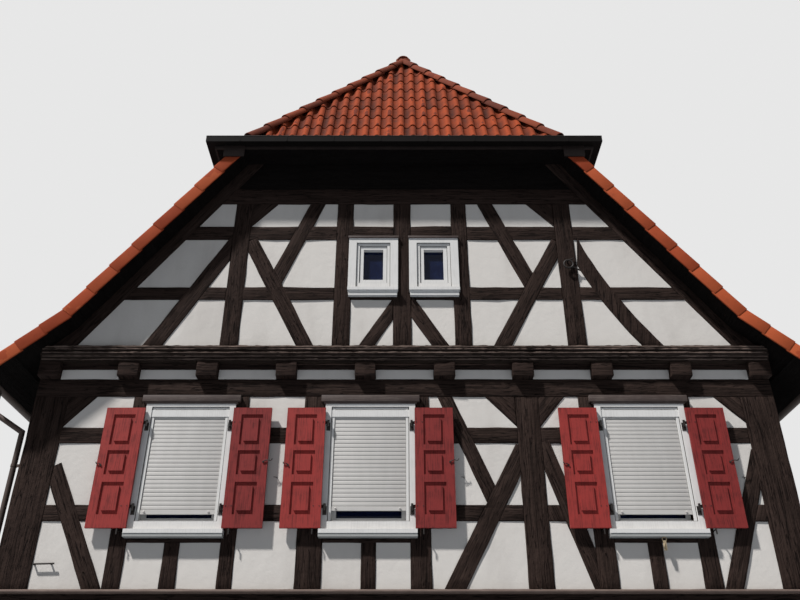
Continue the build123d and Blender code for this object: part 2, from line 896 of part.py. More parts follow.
with BuildPart() as eaves_gutters:
    for side in (-1, 1):
        with BuildSketch(Plane.XZ.offset(-verge_face)):
            half_round(side, eaves_gutter_radius, eaves_gutter_radius - eaves_gutter_wall)
        extrude(amount=2 * verge_face)
        for end in (-verge_face, verge_face - eaves_gutter_wall):
            with BuildSketch(Plane.XZ.offset(end)):
                half_round(side, eaves_gutter_radius, 0)
            extrude(amount=eaves_gutter_wall)
        for number in range(gutter_hooks):
            spread = 2 * half_length / (gutter_hooks - 1)
            with BuildSketch(Plane.XZ.offset(-half_length - bracket_width / 2 + number * spread)):
                with Locations((side * eaves_gutter_x, eaves_gutter_z)):
                    RegularPolygon(hook_radius, hook_sides)
                    Circle(eaves_gutter_radius - eaves_gutter_wall / 2, mode=Mode.SUBTRACT)
                    Rectangle(
                        2 * hook_radius, hook_radius, align=(Align.CENTER, Align.MIN),
                        mode=Mode.SUBTRACT,
                    )
            extrude(amount=bracket_width)
save(eaves_gutters.part, "eaves_gutters")

# Downpipes at two corners, each with a mitred swan neck under its gutter. They are modelled at
# the back right corner and turned about the middle of the house to the front left one.
pipe_x = half_width + ledge_projection + pipe_clearance + pipe_radius
pipe_y = half_length - corner_depth / 2
pipe_start = eaves_gutter_z - hook_radius
neck_top = pipe_start - neck_drop
neck_low = neck_top - neck_fall


def pipe_ring():
    Circle(pipe_radius)
    Circle(pipe_radius - pipe_wall, mode=Mode.SUBTRACT)


with BuildPart() as downpipe_necks:
    with BuildLine():
        Polyline(
            (eaves_gutter_x, pipe_y, pipe_start),
            (eaves_gutter_x, pipe_y, neck_top),
            (pipe_x, pipe_y, neck_low),
            (pipe_x, pipe_y, neck_low - neck_tail),
        )
    with BuildSketch(Plane(origin=(eaves_gutter_x, pipe_y, pipe_start), z_dir=(0, 0, -1))):
        pipe_ring()
    sweep(transition=Transition.RIGHT)
    add(downpipe_necks.part, rotation=(0, 0, 180))
save(downpipe_necks.part, "downpipe_necks")

with BuildPart() as downpipes:
    with BuildSketch(Plane.XY.offset(pipe_foot)):
        with Locations((pipe_x, pipe_y)):
            pipe_ring()
    extrude(amount=neck_low - neck_tail - pipe_foot)
    for height in clip_heights:
        with BuildSketch(Plane.XY.offset(height)):
            with Locations((pipe_x, pipe_y)):
                Circle(pipe_radius + clip_thickness)
                Circle(pipe_radius - pipe_wall / 2, mode=Mode.SUBTRACT)
            wall_x = half_width - (masonry_set_back if height < ground_wall_top else 0)
            arm = pipe_x - pipe_radius - wall_x
            with Locations((wall_x + arm / 2, pipe_y)):
                Rectangle(arm, clip_arm)
        extrude(amount=clip_height)
    add(downpipes.part, rotation=(0, 0, 180))
save(downpipes.part, "downpipes")

# Windows are rings from front to back, each as (half width of its opening, bottom, top, front
# face out from the wall). The last ring is the sash, and the pane sits behind its front.
storey_outline = (window_width / 2, window_bottom, window_top)
guide_half = window_width / 2 - casing_border - guide_width
storey_rings = [
    (window_width / 2 - casing_border, *casing_hole, casing_proud),
    (guide_half, *guide_span, casing_proud - guide_recess),
    (guide_half - sash_border, guide_span[0] + sash_border, guide_span[1] - sash_border, -sash_recess),
]
gable_outline = (gable_window_width / 2, gable_window_bottom, gable_window_top)
gable_frame_half = gable_hole_width / 2 - gable_frame_width
gable_rings = [
    (gable_hole_width / 2, *gable_hole, casing_proud),
    (gable_frame_half, *gable_frame_span, -gable_frame_recess),
    (
        gable_frame_half - gable_sash_border, gable_frame_span[0] + gable_sash_border,
        gable_frame_span[1] - gable_sash_border, -gable_sash_recess,
    ),
]
storey_kind = (storey_outline, storey_rings, pane_recess)
gable_kind = (gable_outline, gable_rings, gable_pane_recess)

# Each group is (wall, centres, bays, bay bottom, bay top, kind).
window_groups = [(wall, end_windows, end_bays, sill_rail[1], plate_bottom, storey_kind) for wall in end_walls]
window_groups += [
    (wall, side_windows, side_bays, sill_rail[1], plate_bottom, storey_kind) for wall in side_walls
]
window_groups += [
    (wall, gable_windows, gable_bays, gable_rails[0][1], gable_rails[1][0], gable_kind)
    for wall in end_gables
]
storey_groups = [group for group in window_groups if group[5] is storey_kind]
gable_groups = [group for group in window_groups if group[5] is gable_kind]
ground_groups = [
    (front_wall, ground_windows["front"]), (back_wall, ground_windows["back"]),
    (right_wall, ground_windows["right"]), (left_wall, ground_windows["left"]),
]


def block(left, right, bottom, top, mode=Mode.ADD):
    with Locations(((left + right) / 2, (bottom + top) / 2)):
        Rectangle(right - left, top - bottom, mode=mode)


def ring_layer(wall, centres, outer, ring, back):
    """One ring of each window: outer is its outline, or the bays that it fills behind the wall's face."""
    half, low, high, front = ring
    with BuildPart() as layer:
        with BuildSketch(wall.offset(front)):
            for centre, (left, right, bottom, top) in zip(centres, outer):
                block(left, right, bottom, top)
                block(centre - half, centre + half, low, high, mode=Mode.SUBTRACT)
        extrude(amount=back - front)
    return layer.part


def window_rings(group):
    """The layers of a group's casings, inner frames and sashes."""
    wall, centres, bays, bay_bottom, bay_top, kind = group
    half, bottom, top = kind[0]
    rings = kind[1]
    layers = []
    outline = [(centre - half, centre + half, bottom, top) for centre in centres]
    bay_faces = [(left, right, bay_bottom, bay_top) for left, right in bays]
    backs = [ring[3] for ring in rings[1:]] + [-frame_depth]
    for ring, back in zip(rings, backs):
        front = ring[3]
        if front > 0:
            layers.append(ring_layer(wall, centres, outline, ring, max(back, 0)))
        if back < 0:
            behind = (*ring[:3], min(front, 0))
            layers.append(ring_layer(wall, centres, bay_faces, behind, back))
    return layers


def face_blocks(group, half, low, high, out):
    """A block on the face of each window of a group, out from the wall by a distance."""
    wall, centres = group[:2]
    with BuildPart() as blocks:
        with BuildSketch(wall):
            for centre in centres:
                block(centre - half, centre + half, low, high)
        extrude(amount=out)
    return blocks.part


def ground_faces(wall, centres, border, inner):
    with BuildSketch(wall.offset(-masonry_set_back - ground_window_recess)) as faces:
        for centre in centres:
            half = ground_window_width / 2
            low, high = ground_window_bottom, ground_window_top
            block(centre - half + border, centre + half - border, low + border, high - border)
            if inner:
                block(
                    centre - half + inner, centre + half - inner, low + inner, high - inner,
                    mode=Mode.SUBTRACT,
                )
    return faces.sketch


with BuildPart() as window_frames:
    for group in window_groups:
        add(window_rings(group))
    for group in storey_groups:
        half = window_width / 2 + sill_overhang
        add(face_blocks(group, half, window_bottom, window_bottom + nose_height, nose_projection))
        half = window_width / 2 - casing_border
        add(face_blocks(group, half, *box_panel, box_panel_proud))
    for group in gable_groups:
        half = gable_window_width / 2
        low = gable_window_bottom
        add(face_blocks(group, half, low, low + gable_nose_height, gable_nose_projection))
        apron = low - gable_apron_height
        add(face_blocks(group, half - sill_overhang, apron, low, gable_apron_projection))
    for wall, centres in ground_groups:
        extrude(ground_faces(wall, centres, 0, ground_border), amount=-sash_depth)
save(window_frames.part, "window_frames")

with BuildPart() as window_panes:
    for wall, centres, bays, low, high, kind in window_groups:
        half, pane_low, pane_high = kind[1][-1][:3]
        with BuildSketch(wall.offset(-kind[2])):
            for centre in centres:
                block(centre - half, centre + half, pane_low, pane_high)
        extrude(amount=-glass_thickness)
    for wall, centres in ground_groups:
        pane = ground_faces(wall, centres, ground_border, 0)
        extrude(pane.moved(Location(wall.z_dir * -ground_pane_recess)), amount=-glass_thickness)
save(window_panes.part, "window_panes")

with BuildPart() as window_sills:
    for group in storey_groups:
        half = window_width / 2 + sill_overhang
        low = window_bottom - window_sill_height
        add(face_blocks(group, half, low, window_bottom, window_sill_projection))
    for wall, centres in ground_groups:
        with BuildSketch(wall.offset(-masonry_set_back)):
            for centre in centres:
                half = ground_window_width / 2 + sill_overhang
                low = ground_window_bottom - ground_sill_height
                block(centre - half, centre + half, low, ground_window_bottom)
        extrude(amount=ground_sill_projection)
save(window_sills.part, "window_sills")

with BuildPart() as window_headers:
    step_height, step_inset, step_thickness = header_step
    for group in storey_groups:
        half = window_width / 2 + header_overhang
        step_top = window_top + step_height
        add(face_blocks(group, half, step_top, window_top + header_height, header_thickness))
        add(face_blocks(group, half - step_inset, window_top, step_top, step_thickness))
    for group in gable_groups:
        half = gable_window_width / 2 + gable_header_overhang
        top = gable_window_top + gable_header_height
        add(face_blocks(group, half, gable_window_top, top, gable_header_thickness))
save(window_headers.part, "window_headers")

with BuildPart() as roller_shutters:
    for wall, centres, bays, low, high, kind in storey_groups:
        with BuildSketch(wall.offset(casing_proud - curtain_recess)):
            for centre, raised in zip(centres, curtain_raised):
                half = guide_half - curtain_gap
                block(centre - half, centre + half, curtain_bottom + raised, curtain_top)
        extrude(amount=-curtain_thickness)
save(roller_shutters.part, "roller_shutters")

# The entrance, in the middle of the left wall
door_face = left_wall.offset(-masonry_set_back - ground_window_recess)
door_left, door_right = door_centre - door_width / 2, door_centre + door_width / 2
with BuildPart() as door_frame:
    with BuildSketch(door_face):
        block(door_left, door_right, slab_height, door_top)
        block(
            door_left + door_border, door_right - door_border, slab_height, door_top - door_border,
            mode=Mode.SUBTRACT,
        )
    extrude(amount=-door_frame_depth)
    with BuildSketch(door_face.offset(-door_thickness)):
        block(door_left, door_right, slab_height, door_top)
        block(
            door_left + door_border + door_rebate, door_right - door_border - door_rebate,
            slab_height, door_top - door_border - door_rebate, mode=Mode.SUBTRACT,
        )
    extrude(amount=-(door_frame_depth - door_thickness))
save(door_frame.part, "door_frame")

with BuildPart() as entrance_door:
    edge = door_border + door_clearance
    with BuildSketch(door_face):
        block(door_left + edge, door_right - edge, slab_height + door_clearance, door_top - edge)
    extrude(amount=-door_thickness)
    with BuildSketch(door_face):
        for low, high in door_panels:
            block(door_left + edge + door_stile, door_right - edge - door_stile, low, high)
    extrude(amount=-panel_recess, mode=Mode.SUBTRACT)
save(entrance_door.part, "entrance_door")

# Wing shutters: panelled leaves on pintles, open against the wall
leaf_face = front_wall.offset(pin_out + leaf_thickness / 2)
leaf_back = front_wall.offset(pin_out - leaf_thickness / 2)
window_names = ["left_window", "middle_window", "right_window"]
hands = [(-1, "left_shutter"), (1, "right_shutter")]


def panel_grooves(near, far):
    """Grooves round the raised fields of a leaf's panels."""
    for low, high in leaf_panels:
        left, right = min(near, far) + leaf_stile, max(near, far) - leaf_stile
        block(left, right, leaf_bottom + low, leaf_bottom + high)
        block(
            left + panel_groove, right - panel_groove,
            leaf_bottom + low + panel_groove, leaf_bottom + high - panel_groove,
            mode=Mode.SUBTRACT,
        )


def wing_shutter(name, pin_x, side):
    near = pin_x + side * pin_to_leaf
    far = near + side * leaf_width
    with BuildPart() as leaf:
        with BuildSketch(leaf_back):
            block(min(near, far), max(near, far), leaf_bottom, leaf_bottom + leaf_height)
        extrude(amount=leaf_thickness)
        with BuildSketch(leaf_face):
            panel_grooves(near, far)
        extrude(amount=-panel_recess, mode=Mode.SUBTRACT)
        with BuildSketch(leaf_back):
            panel_grooves(near, far)
        extrude(amount=panel_recess, mode=Mode.SUBTRACT)
        for height in hinge_heights:
            with BuildSketch(Plane.XY.offset(height - strap_height / 2)):
                mid_y = -half_length - pin_out
                with Locations(((pin_x + near) / 2, mid_y)):
                    Rectangle(pin_to_leaf, tongue_thickness)
            extrude(amount=strap_height)
            with BuildSketch(leaf_back):
                strap_end = near + side * strap_reach
                block(
                    min(near, strap_end), max(near, strap_end),
                    height - strap_height / 2, height + strap_height / 2,
                )
            extrude(amount=-strap_thickness)
            with BuildSketch(Plane.XY.offset(height - knuckle_length / 2)):
                with Locations((pin_x, mid_y)):
                    Circle(knuckle_radius)
            extrude(amount=knuckle_length)
            with BuildSketch(Plane.XY.offset(height - knuckle_length / 2)):
                with Locations((pin_x, mid_y)):
                    Circle(pin_radius + pin_fit)
            extrude(amount=knuckle_length, mode=Mode.SUBTRACT)
    save(leaf.part, name)


for window_name, centre in zip(window_names, end_windows):
    for side, hand in hands:
        wing_shutter(f"{window_name}_{hand}", centre + side * pin_spread, side)

# Pintles: plate, arm and pin, one under each knuckle
with BuildPart() as shutter_pintles:
    arm_drop = knuckle_length / 2 + pintle_gap
    for centre in end_windows:
        for height in hinge_heights:
            arm_top = height - arm_drop
            with BuildSketch(front_wall.offset(casing_proud)):
                with Locations(
                    (centre - pin_spread, arm_top - pintle_arm / 2),
                    (centre + pin_spread, arm_top - pintle_arm / 2),
                ):
                    Rectangle(pintle_plate_width, pintle_plate_height)
            extrude(amount=pintle_plate_thickness)
            with BuildSketch(front_wall.offset(casing_proud)):
                with Locations(
                    (centre - pin_spread, arm_top - pintle_arm / 2),
                    (centre + pin_spread, arm_top - pintle_arm / 2),
                ):
                    Rectangle(pintle_arm, pintle_arm)
            extrude(amount=pin_out - casing_proud + pintle_arm / 2)
            with BuildSketch(Plane.XY.offset(arm_top)):
                with Locations(
                    (centre - pin_spread, -half_length - pin_out),
                    (centre + pin_spread, -half_length - pin_out),
                ):
                    Circle(pin_radius)
            extrude(amount=2 * arm_drop)
save(shutter_pintles.part, "shutter_pintles")

# Catches in the posts under the open leaves, with their tongues turned down
catch_z = leaf_bottom - catch_clearance - catch_radius
with BuildPart() as shutter_catches:
    for centre in end_windows:
        for side in (-1, 1):
            catch_x = centre + side * (pin_spread + pin_to_leaf + catch_inset)
            with BuildSketch(front_wall):
                with Locations((catch_x, catch_z)):
                    Circle(catch_radius)
            extrude(amount=pin_out + leaf_thickness / 2 + catch_clearance)
            with BuildSketch(front_wall.offset(pin_out + leaf_thickness / 2 + catch_clearance)):
                with Locations((catch_x, catch_z + catch_radius)):
                    Rectangle(2 * catch_radius, catch_tongue, align=(Align.CENTER, Align.MAX))
            extrude(amount=catch_thickness)
    add(storey_braces, mode=Mode.SUBTRACT)
save(shutter_catches.part, "shutter_catches")
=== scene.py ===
import math

import bpy
import numpy as np
from mathutils import Matrix, Vector


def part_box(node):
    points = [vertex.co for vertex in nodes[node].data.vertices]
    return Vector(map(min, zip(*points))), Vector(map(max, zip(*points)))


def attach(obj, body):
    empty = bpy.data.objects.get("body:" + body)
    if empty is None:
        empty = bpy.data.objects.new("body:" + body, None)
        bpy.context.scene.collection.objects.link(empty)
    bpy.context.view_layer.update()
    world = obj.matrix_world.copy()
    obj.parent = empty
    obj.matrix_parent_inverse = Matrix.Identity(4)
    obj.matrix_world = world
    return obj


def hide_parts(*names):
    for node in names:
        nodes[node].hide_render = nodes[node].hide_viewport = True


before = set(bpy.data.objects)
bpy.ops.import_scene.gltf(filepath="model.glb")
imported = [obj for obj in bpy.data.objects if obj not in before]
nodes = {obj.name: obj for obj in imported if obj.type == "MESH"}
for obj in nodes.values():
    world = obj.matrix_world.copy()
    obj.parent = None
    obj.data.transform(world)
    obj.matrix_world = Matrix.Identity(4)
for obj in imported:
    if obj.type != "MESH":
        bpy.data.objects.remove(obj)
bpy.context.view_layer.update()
chance = np.random.default_rng(12)

# Where the house's walls and roof lie, read from the frame, in metres
half_length = -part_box("head_beams")[0].y
half_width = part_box("head_beams")[1].x
gable_face = -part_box("gable_posts")[0].y
verge_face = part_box("roof_right")[1].y
main_pitch = math.radians(54.3)
eaves_pitch = math.radians(43.0)
hip_pitch = math.radians(64.0)
course_step = 0.026
ridge_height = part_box("roof_right")[1].z + course_step / math.cos(main_pitch)
ridge_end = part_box("ridge_caps")[1].y
hip_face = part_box("half_hips")[1].y
hip_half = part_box("half_hips")[1].x
hip_foot_z = ridge_height - (hip_face - ridge_end) * math.tan(hip_pitch)
soffit_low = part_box("hip_soffits")[0].z

# The kick, below which the long slopes are flatter, and their eaves
kick_x = 4.08
kick_z = ridge_height - kick_x * math.tan(main_pitch)
eaves_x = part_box("roof_right")[1].x
eaves_z = kick_z - (eaves_x - kick_x) * math.tan(eaves_pitch)

# The words for the two sides and the two gables, in the names of pieces
hands = {-1: "left", 1: "right"}
gables = {-1: "front", 1: "back"}


class Socket:
    """An output of a shader node; arithmetic on it adds Math nodes."""

    def __init__(self, owner, link):
        self.owner = owner
        self.link = link

    def math(self, operation, *values):
        return self.owner.node("Math", {"operation": operation}, dict(enumerate(values)))

    def __add__(self, other):
        return self.math("ADD", self, other)

    def __sub__(self, other):
        return self.math("SUBTRACT", self, other)

    def __mul__(self, other):
        return self.math("MULTIPLY", self, other)

    def __radd__(self, other):
        return self.math("ADD", other, self)

    def __rsub__(self, other):
        return self.math("SUBTRACT", other, self)

    def __rmul__(self, other):
        return self.math("MULTIPLY", other, self)

    def size(self):
        return self.math("ABSOLUTE", self)

    def either(self, other):
        return self.math("MAXIMUM", self, other)

    def smooth(self, low, high):
        """0 below low, 1 above high and a soft rise between them."""
        settings = {"interpolation_type": "SMOOTHSTEP"}
        return self.owner.node("MapRange", settings, {"Value": self, "From Min": low, "From Max": high})


class Nodes:
    """The nodes of a material or of the world, with one method that adds any node."""

    def __init__(self, tree):
        self.tree = tree

    def feed(self, node, name, value):
        """Links a node's input to a socket, or gives it a plain value."""
        if isinstance(value, Socket):
            self.tree.links.new(value.link, node.inputs[name])
        else:
            node.inputs[name].default_value = value

    def node(self, kind, settings, sockets, output=0):
        added = self.tree.nodes.new("ShaderNode" + kind)
        for name, value in settings.items():
            if name == "stops":
                ramp = added.color_ramp
                for extra in value[2:]:
                    ramp.elements.new(extra[0])
                for element, (place, colour) in zip(ramp.elements, value):
                    element.position = place
                    element.color = colour
            else:
                setattr(added, name, value)
        for name, value in sockets.items():
            self.feed(added, name, value)
        return Socket(self, added.outputs[output])

    def seen(self):
        """1 for what the camera, a reflection or a pane shows, 0 for light on the object."""
        direct = self.node("LightPath", {}, {}, "Is Camera Ray")
        mirrored = self.node("LightPath", {}, {}, "Is Glossy Ray")
        through = self.node("LightPath", {}, {}, "Is Transmission Ray")
        return direct.either(mirrored.either(through))


class Finish(Nodes):
    """A material in the making."""

    def __init__(self, name):
        self.material = bpy.data.materials.new(name)
        self.material.use_nodes = True
        super().__init__(self.material.node_tree)
        self.shader = self.tree.nodes["Principled BSDF"]

    def place(self):
        return self.node("TexCoord", {}, {}, "Object")

    def grain(self):
        return self.node("UVMap", {"uv_map": "grain"}, {}, "UV")

    def tone(self):
        return self.node("Attribute", {"attribute_name": "tone"}, {}, "Fac")

    def stretch(self, vector, scale, shift=(0, 0, 0)):
        return self.node("Mapping", {}, {"Vector": vector, "Scale": scale, "Location": shift})

    def part(self, vector, axis):
        return self.node("SeparateXYZ", {}, {"Vector": vector}, axis)

    def noise(self, vector, scale, detail=4, roughness=0.55):
        sockets = {"Vector": vector, "Scale": scale, "Detail": detail, "Roughness": roughness}
        return self.node("TexNoise", {}, sockets)

    def ramp(self, value, *stops):
        return self.node("ValToRGB", {"stops": stops}, {"Fac": value})

    def mix(self, factor, first, second):
        return self.node("Mix", {"data_type": "RGBA"}, {0: factor, 6: first, 7: second}, 2)

    def bump(self, height, depth, strength):
        return self.node("Bump", {}, {"Height": height, "Distance": depth, "Strength": strength})

    def done(self, colour, roughness, relief=None, metal=0.0, gloss=0.5):
        """Feeds the shader with the finish's colour, roughness and bump, and its plain values."""
        values = {
            "Base Color": colour, "Roughness": roughness, "Metallic": metal, "Specular IOR Level": gloss,
        }
        if relief is not None:
            values["Normal"] = relief
        for name, value in values.items():
            self.feed(self.shader, name, value)
        return self.material


def shade(red, green, blue):
    """A colour as seen on a screen, 0 to 255, made linear."""
    seen = [value / 255 for value in (red, green, blue)]
    linear = [v / 12.92 if v <= 0.04045 else ((v + 0.055) / 1.055) ** 2.4 for v in seen]
    return (*linear, 1.0)


def timber_finish(name, dark, middle, light, wear):
    """Weathered stained oak: grain and checks along the beam, greyer where rain runs."""
    finish = Finish(name)
    along = finish.grain()
    fibre = finish.noise(finish.stretch(along, (3, 90, 1)), 1, 6, 0.65)
    band = finish.noise(finish.stretch(along, (0.9, 16, 1)), 1, 3)
    check = finish.noise(finish.stretch(along, (1.4, 26, 1), (7, 3, 0)), 1, 2)
    cracks = 1 - (check - 0.5).size().smooth(0.004, 0.02)
    bleach = finish.noise(finish.place(), 1.3, 4)
    tone = finish.ramp(
        fibre * 0.6 + band * 0.4,
        (0.3, shade(*dark)), (0.62, shade(*light)), (0.46, shade(*middle)),
    )
    # Light flecks along the grain: painted highlights on the rough wood
    painted_highlight_flecks = finish.noise(finish.stretch(along, (30, 110, 1)), 1, 3, 0.7).smooth(0.6, 0.72)
    tone = finish.mix(painted_highlight_flecks * 0.6, tone, shade(*[2.6 * part for part in middle]))
    weathered = finish.mix(bleach.smooth(0.5, 0.75) * wear, tone, shade(*light))
    colour = finish.mix(cracks * 0.8, weathered, shade(16, 12, 11))
    adze = finish.noise(finish.place(), 16, 3, 0.6)
    height = fibre * 0.5 + band * 0.4 + adze * 0.8 - cracks
    relief = finish.bump(height, depth=0.012, strength=1.0)
    return finish.done(colour, 0.75 + fibre * 0.2, relief, gloss=0.04)


def plaster_finish(name, base, shadow):
    """Floated lime plaster with a sandy grain and soft stains."""
    finish = Finish(name)
    place = finish.place()
    sand = finish.noise(place, 90, 6, 0.7)
    trowel = finish.noise(place, 9, 4, 0.6)
    stain = finish.noise(finish.stretch(place, (1.6, 1.6, 0.5)), 1, 5, 0.6)
    colour = finish.mix(stain.smooth(0.45, 0.8) * 0.55 + sand * 0.12, shade(*base), shade(*shadow))
    return finish.done(colour, 0.92, finish.bump(sand * 0.35 + trowel, depth=0.008, strength=0.5))


def masonry_finish(name):
    """Rough cast above a darker plinth that splashed rain has stained."""
    finish = Finish(name)
    place = finish.place()
    height = finish.part(place, "Z")
    cast = finish.noise(place, 55, 5, 0.75)
    cloud = finish.noise(place, 0.9, 5, 0.6)
    wall = finish.mix(cloud, shade(226, 218, 203), shade(205, 196, 180))
    plinth = finish.mix(cloud, shade(140, 134, 126), shade(115, 110, 104))
    splash = 1 - (height + cloud * 0.5).smooth(0.55, 1.3)
    wall = finish.mix(splash * 0.35, wall, shade(150, 142, 130))
    colour = finish.mix(height.smooth(0.444, 0.452), plinth, wall)
    return finish.done(colour, 0.95, finish.bump(cast, depth=0.008, strength=0.6))


def clay_finish(name, low, middle, high, soot):
    """Fired clay, each tile in its own tone and darker in its hollows as painted shade, with dark growth in
    patches.
    """
    finish = Finish(name)
    place = finish.place()
    speck = finish.noise(place, 60, 4, 0.7)
    cloud = finish.noise(place, 4.5, 4, 0.6)
    growth = finish.noise(place, 13, 5, 0.65)
    # The tone ramp carries each tile's own tone and, on the pantiles, painted shade that darkens the
    # hollows
    burnt_and_shaded = finish.ramp(
        finish.tone() * 0.55 + cloud * 0.45,
        (0.22, shade(*low)), (0.75, shade(*high)), (0.48, shade(*middle)),
    )
    grown = finish.mix(growth.smooth(0.56, 0.72) * soot, burnt_and_shaded, shade(58, 38, 31))
    colour = finish.mix(speck.smooth(0.6, 0.75) * 0.25, grown, shade(60, 40, 34))
    relief = finish.bump(speck * 0.4 + growth * 0.3, depth=0.003, strength=0.5)
    return finish.done(colour, 0.84, relief, gloss=0.1)


def paint_finish(name, base, worn, wear, roughness):
    """Brush paint over wood, thin along the grain where it has weathered."""
    finish = Finish(name)
    brush = finish.noise(finish.stretch(finish.grain(), (4, 90, 1)), 1, 5, 0.6)
    patch = finish.noise(finish.place(), 7, 4, 0.6)
    rub = (brush * 0.65 + patch * 0.35).smooth(0.46, 0.62) * wear
    colour = finish.mix(rub, shade(*base), shade(*worn))
    relief = finish.bump(brush * 0.4 - rub * 0.3, depth=0.0012, strength=0.6)
    return finish.done(colour, roughness + rub * 0.2, relief, gloss=0.14)


def metal_finish(name, base, dull, metal, roughness, gloss=0.2):
    """Coated or weathered sheet metal with rain marks."""
    finish = Finish(name)
    place = finish.place()
    bloom = finish.noise(place, 5, 5, 0.6)
    streak = finish.noise(finish.stretch(place, (30, 30, 2)), 1, 3)
    colour = finish.mix(bloom * 0.6 + streak * 0.3, shade(*base), shade(*dull))
    relief = finish.bump(bloom, depth=0.001, strength=0.3)
    return finish.done(colour, roughness + bloom * 0.15, relief, metal, gloss)


def stone_finish(name, base, dark):
    """Cast or cut stone with fine dark flecks."""
    finish = Finish(name)
    place = finish.place()
    fleck = finish.noise(place, 140, 4, 0.8)
    cloud = finish.noise(place, 6, 4)
    colour = finish.mix(fleck.smooth(0.4, 0.7) * 0.5 + cloud * 0.3, shade(*base), shade(*dark))
    return finish.done(colour, 0.8, finish.bump(fleck, depth=0.0015, strength=0.4))


def slat_finish(name):
    """Grey plastic slats that rain and dust have streaked."""
    finish = Finish(name)
    place = finish.place()
    dust = finish.noise(finish.stretch(place, (9, 9, 1.5)), 1, 5, 0.6)
    film = finish.noise(place, 70, 3)
    colour = finish.mix(dust * 0.7, shade(181, 177, 172), shade(159, 155, 150))
    return finish.done(colour, 0.5 + dust * 0.15, finish.bump(film, depth=0.0004, strength=0.4))


def glass_finish(name):
    """Window glass over a dark room, tinted dark blue as a painted reflection of the sky, a little uneven
    in its reflections.
    """
    finish = Finish(name)
    place = finish.place()
    wave = finish.noise(place, 2.5, 2)
    dust = finish.noise(place, 9, 5)
    # The dark blue is a painted sky reflection, lighter in patches with the dust
    colour = finish.mix(dust.smooth(0.4, 0.8) * 0.25, shade(13, 20, 46), shade(38, 50, 82))
    finish.feed(finish.shader, "Alpha", 0.9)
    relief = finish.bump(wave, depth=0.004, strength=0.15)
    return finish.done(colour, 0.05 + dust * 0.08, relief, gloss=0.15)


oak = timber_finish("dark_timber", (12, 8, 7), (27, 20, 18), (56, 44, 39), 0.3)
moulded_oak = timber_finish("weathered_sill", (10, 7, 6), (23, 18, 16), (60, 50, 44), 0.4)
# A lighter oak for the sill's ridges: weathered, and also a painted highlight on their tops
worn_and_lit_edge = timber_finish("weathered_and_lit_ridge", (8, 6, 5), (30, 24, 22), (116, 99, 90), 0.6)
# Near-black boards: painted shade under the hip's overhang, also used for the boarding under the tiles
painted_shade_board = timber_finish("painted_shade_board", (7, 5, 5), (11, 9, 9), (20, 17, 16), 0.2)
floor_pine = timber_finish("floor_board", (120, 92, 60), (150, 118, 80), (176, 144, 104), 0.2)
plaster = plaster_finish("plaster_infill", (198, 192, 185), (168, 161, 154))
masonry = masonry_finish("rendered_masonry")
pantile_clay = clay_finish("clay_tile", (30, 14, 10), (92, 35, 17), (140, 58, 26), 0.45)
verge_clay = clay_finish("verge_clay", (132, 54, 30), (150, 66, 38), (166, 80, 47), 0.15)
cap_clay = clay_finish("cap_clay", (70, 32, 22), (98, 42, 26), (120, 56, 34), 0.5)
brown_paint = paint_finish("brown_board", (26, 20, 19), (46, 37, 33), 0.5, 0.6)
ledge_paint = paint_finish("ledge_board", (84, 70, 64), (112, 98, 90), 0.6, 0.65)
header_paint = paint_finish("header_board", (66, 56, 53), (96, 86, 80), 0.6, 0.6)
white_paint = paint_finish("white_frame", (203, 200, 196), (180, 177, 173), 0.4, 0.42)
# The right leaves' red is a darker copy of the left leaves' paint: painted shade
red_paints_lit_and_shaded = {
    "left": paint_finish("red_shutter", (138, 50, 46), (88, 32, 30), 0.7, 0.55),
    "right": paint_finish("dull_red_shutter", (118, 42, 40), (74, 27, 26), 0.8, 0.6),
}
door_paint = paint_finish("door_wood", (116, 44, 40), (84, 36, 32), 0.5, 0.45)
gutter_coat = metal_finish("hip_gutter_coat", (12, 10, 9), (20, 17, 16), 0.0, 0.6, 0.04)
brown_coat = metal_finish("brown_metal", (52, 42, 38), (78, 66, 60), 0.2, 0.5)
# The gutter's bead is lighter than its coat: a painted highlight
bead_highlight_coat = metal_finish("gutter_bead", (48, 42, 39), (34, 30, 28), 0.0, 0.5, 0.1)
iron = metal_finish("black_iron", (30, 29, 29), (52, 46, 43), 0.4, 0.5)
brass = metal_finish("old_brass", (168, 150, 122), (118, 104, 84), 0.3, 0.45)
rubber = metal_finish("frame_joint", (70, 64, 60), (52, 48, 46), 0.0, 0.8)
sill_stone = stone_finish("sill_stone", (150, 150, 147), (112, 112, 110))
concrete = stone_finish("concrete", (140, 138, 134), (112, 110, 106))
slat_plastic = slat_finish("shutter_slat")
glass = glass_finish("window_glass")

select_modes = {
    "vertices": (True, False, False), "edges": (False, True, False), "polygons": (False, False, True),
}


def choose(piece):
    """Makes piece the only selected object and the active one."""
    bpy.ops.object.select_all(action="DESELECT")
    piece.select_set(True)
    bpy.context.view_layer.objects.active = piece


def enter(piece, kind="polygons", action="DESELECT"):
    """Enters edit mode with nothing selected, or with all of the piece."""
    choose(piece)
    bpy.context.tool_settings.mesh_select_mode = select_modes[kind]
    bpy.ops.object.mode_set(mode="EDIT")
    bpy.ops.mesh.select_all(action=action)


def leave():
    bpy.ops.object.mode_set(mode="OBJECT")


def select_parts(piece, kind, wanted):
    """Enters edit mode with the points, edges or faces selected that are wanted."""
    enter(piece, kind)
    leave()
    for part in getattr(piece.data, kind):
        part.select = wanted(part)
    bpy.ops.object.mode_set(mode="EDIT")


def select_faces(piece, wanted):
    """Enters edit mode with the faces selected whose middle and normal are wanted."""
    select_parts(piece, "polygons", lambda face: wanted(face.center, face.normal))


def shift_faces(piece, wanted, shift):
    select_faces(piece, wanted)
    bpy.ops.transform.translate(value=shift)
    leave()


